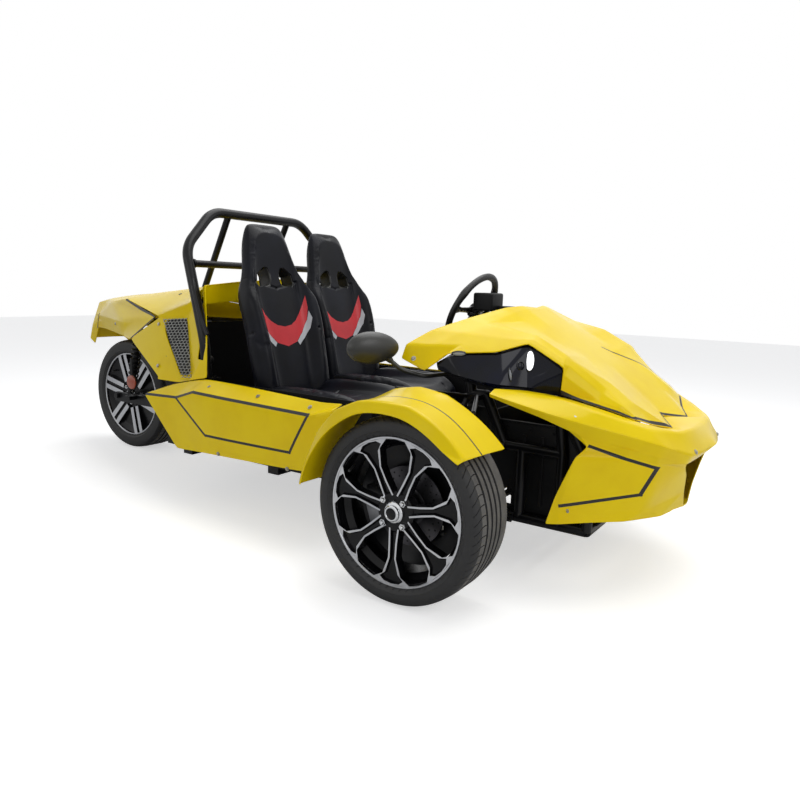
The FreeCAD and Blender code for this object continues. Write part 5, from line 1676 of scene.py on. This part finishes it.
@dataclass
class RunningGear:
    """Dampers, vent honeycomb, side reflectors, roll hoop and inner guards."""

    def shocks(self) -> None:
        """Both axles' coil-over dampers."""
        for name, ends, coil, body in (
                ("front_shocks", (front(0, 600, 213), front(0, 352, 586)), 31 * MM, 16 * MM),
                ("rear_shocks", (rear(150, 200, 350), rear(300, 235, 730)), 29 * MM, 16 * MM)):
            bm = bmesh.new()
            for side in Side:
                Shock(side.flip(ends[0]), side.flip(ends[1]), coil, body).add(bm)
            paint = SPRING_ENAMEL if name == "front_shocks" else POWDER_COAT
            publish("coil_over_" + name, bm, (paint, ABS, ZINC), stands_for=(name,), fold=40.0)

    def vents(self) -> None:
        """Honeycomb of expanded steel in the rear quarters, in front of a dark plate."""
        corners = [rear(771, 453, 807), rear(956, 452, 821), rear(1097, 546, 555), rear(1025, 538, 547)]
        for side in Side:
            quad = [side.flip(c) for c in corners]
            origin = sum(quad, Vector()) / 4
            across = (quad[1] - quad[0]).normalized()
            normal = across.cross(quad[2] - quad[0]).normalized()
            if normal.y * side.value < 0:
                normal.negate()
            up = normal.cross(across)
            loop = [((c - origin).dot(across) * 0.93, (c - origin).dot(up) * 0.95) for c in quad]
            bm = bmesh.new()
            pitch, squash = 24 * MM, 0.62
            for row in range(-14, 15):
                for column in range(-9, 10):
                    u = (column + (row % 2) * 0.5) * pitch
                    w = row * pitch * math.sqrt(3) / 2
                    cell = Matrix.Translation((u, w * squash, 0)) @ Matrix.Diagonal((1.0, squash, 1.0, 1.0))
                    bmesh.ops.create_circle(bm, cap_ends=True, segments=6, radius=pitch / math.sqrt(3),
                                            matrix=cell @ Matrix.Rotation(math.pi / 6, 4, "Z"))
            bmesh.ops.remove_doubles(bm, verts=bm.verts, dist=0.0006)
            cells = bm.faces[:]
            bmesh.ops.inset_individual(bm, faces=cells, thickness=1.6 * MM, depth=0.0)
            bmesh.ops.delete(bm, geom=cells, context="FACES_ONLY")
            turning = sum(a[0] * b[1] - a[1] * b[0] for a, b in ring_pairs(loop))
            for (u0, w0), (u1, w1) in ring_pairs(loop):
                outward = Vector((w1 - w0, u0 - u1, 0)) * math.copysign(1.0, turning)
                bmesh.ops.bisect_plane(bm, geom=everything(bm), plane_co=(u0, w0, 0),
                                       plane_no=outward, dist=MERGE, clear_outer=True)
            pushed = bmesh.ops.extrude_face_region(bm, geom=bm.faces[:], use_keep_orig=True)["geom"]
            bmesh.ops.translate(bm, verts=only_verts(pushed), vec=(0, 0, 3 * MM))
            bmesh.ops.recalc_face_normals(bm, faces=bm.faces)
            place = Matrix((across, up, normal)).transposed().to_4x4()
            place.translation = origin + normal * 4 * MM
            bmesh.ops.transform(bm, matrix=place, verts=bm.verts)
            bmesh.ops.recalc_face_normals(bm, faces=bm.faces)
            publish("vent_honeycomb_" + side.word, bm, (EXPANDED_STEEL,), fold=30.0)

    def reflectors(self) -> None:
        """Amber side reflectors on black brackets beside the rear wheel."""
        for side in Side:
            spot = side.flip(rear(252, 262, 430))
            bm = bmesh.new()
            out = Vector((0, side.value, 0))
            set_index(add_rod(bm, spot, spot + out * 7 * MM, 39 * MM, 32, 0.94, 2 * MM), 0)
            set_index(add_rod(bm, spot - out * 4 * MM, spot + out * 1 * MM, 42 * MM, 32, edge=1 * MM), 1)
            set_index(add_block(bm, spot + mm(-9, -2, -12), spot + mm(9, 2, 130), 1 * MM), 1)
            publish("side_reflector_" + side.word, bm, (AMBER, ABS), fold=40.0)

    def hoop(self) -> None:
        """Roll hoop of bent tube with its harness bar, its feet, its stays and a brace on each leg."""
        leg = [(1125, 492, 563), (1125, 500, 710), (980, 477, 1130), (950, 300, 1300)]
        arch = [rear(*p) for p in leg] + [rear(x, -y, z) for x, y, z in reversed(leg)]
        bm = bmesh.new()
        add_tube(bm, arch, 22.5 * MM, 24, 62 * MM)
        add_tube(bm, [rear(1005, 481, 1060), rear(1005, -481, 1060)], 16 * MM, 20)
        for side in Side:
            add_tube(bm, [side.flip(rear(953, 200, 1296)), side.flip(rear(692, 200, 782))], 16 * MM, 20)
            add_tube(bm, [side.flip(rear(*p)) for p in ((1024, 484, 1020), (1061, 503, 945),
                                                        (1101, 506, 838), (1145, 506, 753))],
                     11 * MM, 16, 30 * MM)
            low, high = side.flip(rear(1080, 450, 560.3)), side.flip(rear(1170, 505, 566))
            add_block(bm, low, high, 1.5 * MM)
            for x in (1092, 1158):
                bolt = side.flip(rear(x, 478, 564))
                add_rod(bm, bolt, bolt + UP * 9 * MM, 9 * MM, 6, edge=1 * MM)
            for x, y, z in ((1005, 481, 1060), (1125, 500, 640)):
                knot = side.flip(rear(x, y, z))
                add_rod(bm, knot - OUT[side] * 30 * MM, knot - OUT[side] * 18 * MM, 21 * MM, 24, edge=2 * MM)
        publish("hoop_tube", bm, (POWDER_COAT,), stands_for=("roll_hoop",), fold=38.0)

    def guards(self) -> None:
        """Black inner guards that close the front bay beside the radiator, open around the steering rack."""
        for side in Side:
            outline = [(40, 530), (400, 530), (400, 190), (40, 190), (40, 222), (140, 222), (140, 280),
                       (40, 280)]
            bm = bmesh.new()
            add_slab(bm, [side.flip(front(x, 292, z)) for x, z in outline], OUT[side] * 3 * MM, 0.8 * MM)
            add_block(bm, side.flip(front(40, 292, 525)), side.flip(front(400, 304, 531)), 1.5 * MM)
            for x in (110, 200, 290, 370):
                spot = side.flip(front(x, 295, 505))
                add_rod(bm, spot, spot + OUT[side] * 4 * MM, 8 * MM, 6, edge=0.8 * MM)
            for x in (180, 250, 320):
                add_block(bm, side.flip(front(x - 6, 294, 235)), side.flip(front(x + 6, 299, 485)), 1.5 * MM)
            publish("inner_guard_" + side.word, bm, (ABS,), fold=38.0)

    def build(self) -> None:
        """Builds the running gear's pieces."""
        self.shocks()
        self.vents()
        self.reflectors()
        self.hoop()
        self.guards()


# ------------------------------------------------------------------ studio
@dataclass
class Studio:
    """Camera, soft lights and a plain pale floor."""

    eye: tuple[float, float, float] = (1140.9, -2545.0, 995.0)
    heading: float = 123.65
    tilt: float = 9.446
    roll: float = 1.794
    lens: float = 31.155
    sensor: float = 36.0
    reach: float = 60.0
    ambient: float = 0.3
    floor_half: float = 14.0

    def camera(self) -> None:
        """Camera about a metre above the ground, ahead of the right front wheel and well out to its side."""
        data = bpy.data.cameras.new("camera")
        data.lens = self.lens
        data.sensor_width = self.sensor
        data.clip_end = self.reach
        heading, tilt, roll = (math.radians(a) for a in (self.heading, self.tilt, self.roll))
        ahead = Vector((math.cos(heading) * math.cos(tilt), math.sin(heading) * math.cos(tilt),
                        -math.sin(tilt)))
        right = ahead.cross(UP).normalized()
        turned = Matrix.Rotation(-roll, 3, ahead)
        right, up = turned @ right, turned @ right.cross(ahead)
        place = Matrix((right, up, -ahead)).transposed().to_4x4()
        place.translation = front(*self.eye)
        camera = bpy.data.objects.new("camera", data)
        camera.matrix_world = place
        bpy.context.scene.collection.objects.link(camera)
        bpy.context.scene.camera = camera

    def softbox(self, name: str, place: tuple[float, float, float], aim: tuple[float, float, float],
                size: tuple[float, float], power: float) -> None:
        """Adds a rectangular area light."""
        data = bpy.data.lights.new(name, "AREA")
        data.shape = "RECTANGLE"
        data.size, data.size_y = size
        data.energy = power
        lamp = bpy.data.objects.new(name, data)
        lamp.location = place
        lamp.rotation_euler = (Vector(aim) - Vector(place)).to_track_quat("-Z", "Y").to_euler()
        bpy.context.scene.collection.objects.link(lamp)

    def world(self) -> None:
        """Even light, with plain white for what the camera, glass and metal see."""
        world = bpy.data.worlds.new("studio_world")
        bpy.context.scene.world = world
        world.use_nodes = True
        tree = world.node_tree
        tree.nodes.clear()
        path = add_node(world, "LightPath")
        seen = add_node(world, "Math",
                        links={0: path.outputs["Is Camera Ray"], 1: path.outputs["Is Glossy Ray"]},
                        operation="MAXIMUM")
        seen = add_node(world, "Math", links={0: seen.outputs[0], 1: path.outputs["Is Transmission Ray"]},
                        operation="MAXIMUM")
        dim = add_node(world, "Background", {"Color": linear("F4F6FA"), "Strength": self.ambient})
        white = add_node(world, "Background", {"Color": linear("FFFFFF"), "Strength": 1.0})
        mixed = add_node(world, "MixShader",
                         links={0: seen.outputs[0], 1: dim.outputs[0], 2: white.outputs[0]})
        add_node(world, "OutputWorld", links={0: mixed.outputs[0]})

    def floor(self) -> None:
        """Pale painted floor that keeps the shadow and fades to white for the camera."""
        bm = bmesh.new()
        bmesh.ops.create_grid(bm, x_segments=1, y_segments=1, size=self.floor_half)
        mesh = bpy.data.meshes.new("floor")
        bm.to_mesh(mesh)
        bm.free()
        material = bpy.data.materials.new("painted_floor")
        material.use_nodes = True
        shader = material.node_tree.nodes["Principled BSDF"]
        shader.inputs["Base Color"].default_value = linear("F4F4F4")
        shader.inputs["Roughness"].default_value = 0.9
        output = material.node_tree.nodes["Material Output"]
        path = add_node(material, "LightPath")
        lit = add_node(material, "Emission", {"Color": linear("FFFFFF"), "Strength": 0.55})
        added = add_node(material, "AddShader", links={0: shader.outputs[0], 1: lit.outputs[0]})
        mixed = add_node(material, "MixShader", links={0: path.outputs["Is Camera Ray"], 1: shader.outputs[0],
                                                       2: added.outputs[0]})
        material.node_tree.links.new(mixed.outputs[0], output.inputs["Surface"])
        mesh.materials.append(material)
        floor = bpy.data.objects.new("floor", mesh)
        bpy.context.scene.collection.objects.link(floor)

    def build(self) -> None:
        """Sets the studio up."""
        bpy.context.scene.view_settings.view_transform = "Standard"
        self.camera()
        self.world()
        self.floor()
        self.softbox("overhead", (0.6, 0.8, 4.2), (0.3, 0.0, 0.4), (5.0, 3.2), 130.0)
        self.softbox("front_side", (4.2, -1.2, 2.6), (0.8, -0.1, 0.5), (2.2, 1.6), 26.0)
        self.softbox("camera_side", (-0.6, -4.4, 2.2), (0.0, 0.0, 0.5), (3.0, 1.4), 16.0)


# ------------------------------------------------------------------ all together
def carry(finishes: dict[Finish, Sequence[str]]) -> None:
    """Gives CAD nodes that stay their finish.

    Args:
        finishes: for each finish the nodes that have it.
    """
    for finish, nodes in finishes.items():
        for node in nodes:
            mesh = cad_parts[node].data
            mesh.materials.clear()
            mesh.materials.append(finish.material())
            LOG.info("%s carries %s", node, finish.name)


def write_sizes() -> None:
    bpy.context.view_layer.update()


def main() -> None:
    """Builds the studio and every group of pieces in order."""
    logging.basicConfig(level=logging.INFO, format="%(message)s")
    Studio().build()
    Bodywork().build()
    wheels()
    Seats().build()
    Cockpit().build()
    Mirrors().build()
    Lamps().build()
    RunningGear().build()
    carry({POWDER_COAT: ["front_frame", "rear_frame", "main_frame", "swingarm", "front_arms", "fender_stays",
                         "knuckle_left", "knuckle_right"],
           ABS: ["floor_tub", "pedals", "steering_rack", "vent_mesh"],
           CAST: ["engine_block"], STAINLESS: ["exhaust"], FINS: ["radiator"],
           ZINC: ["steering_column", "tie_rod_left", "tie_rod_right"]})
    write_sizes()


if __name__ == "__main__":
    main()
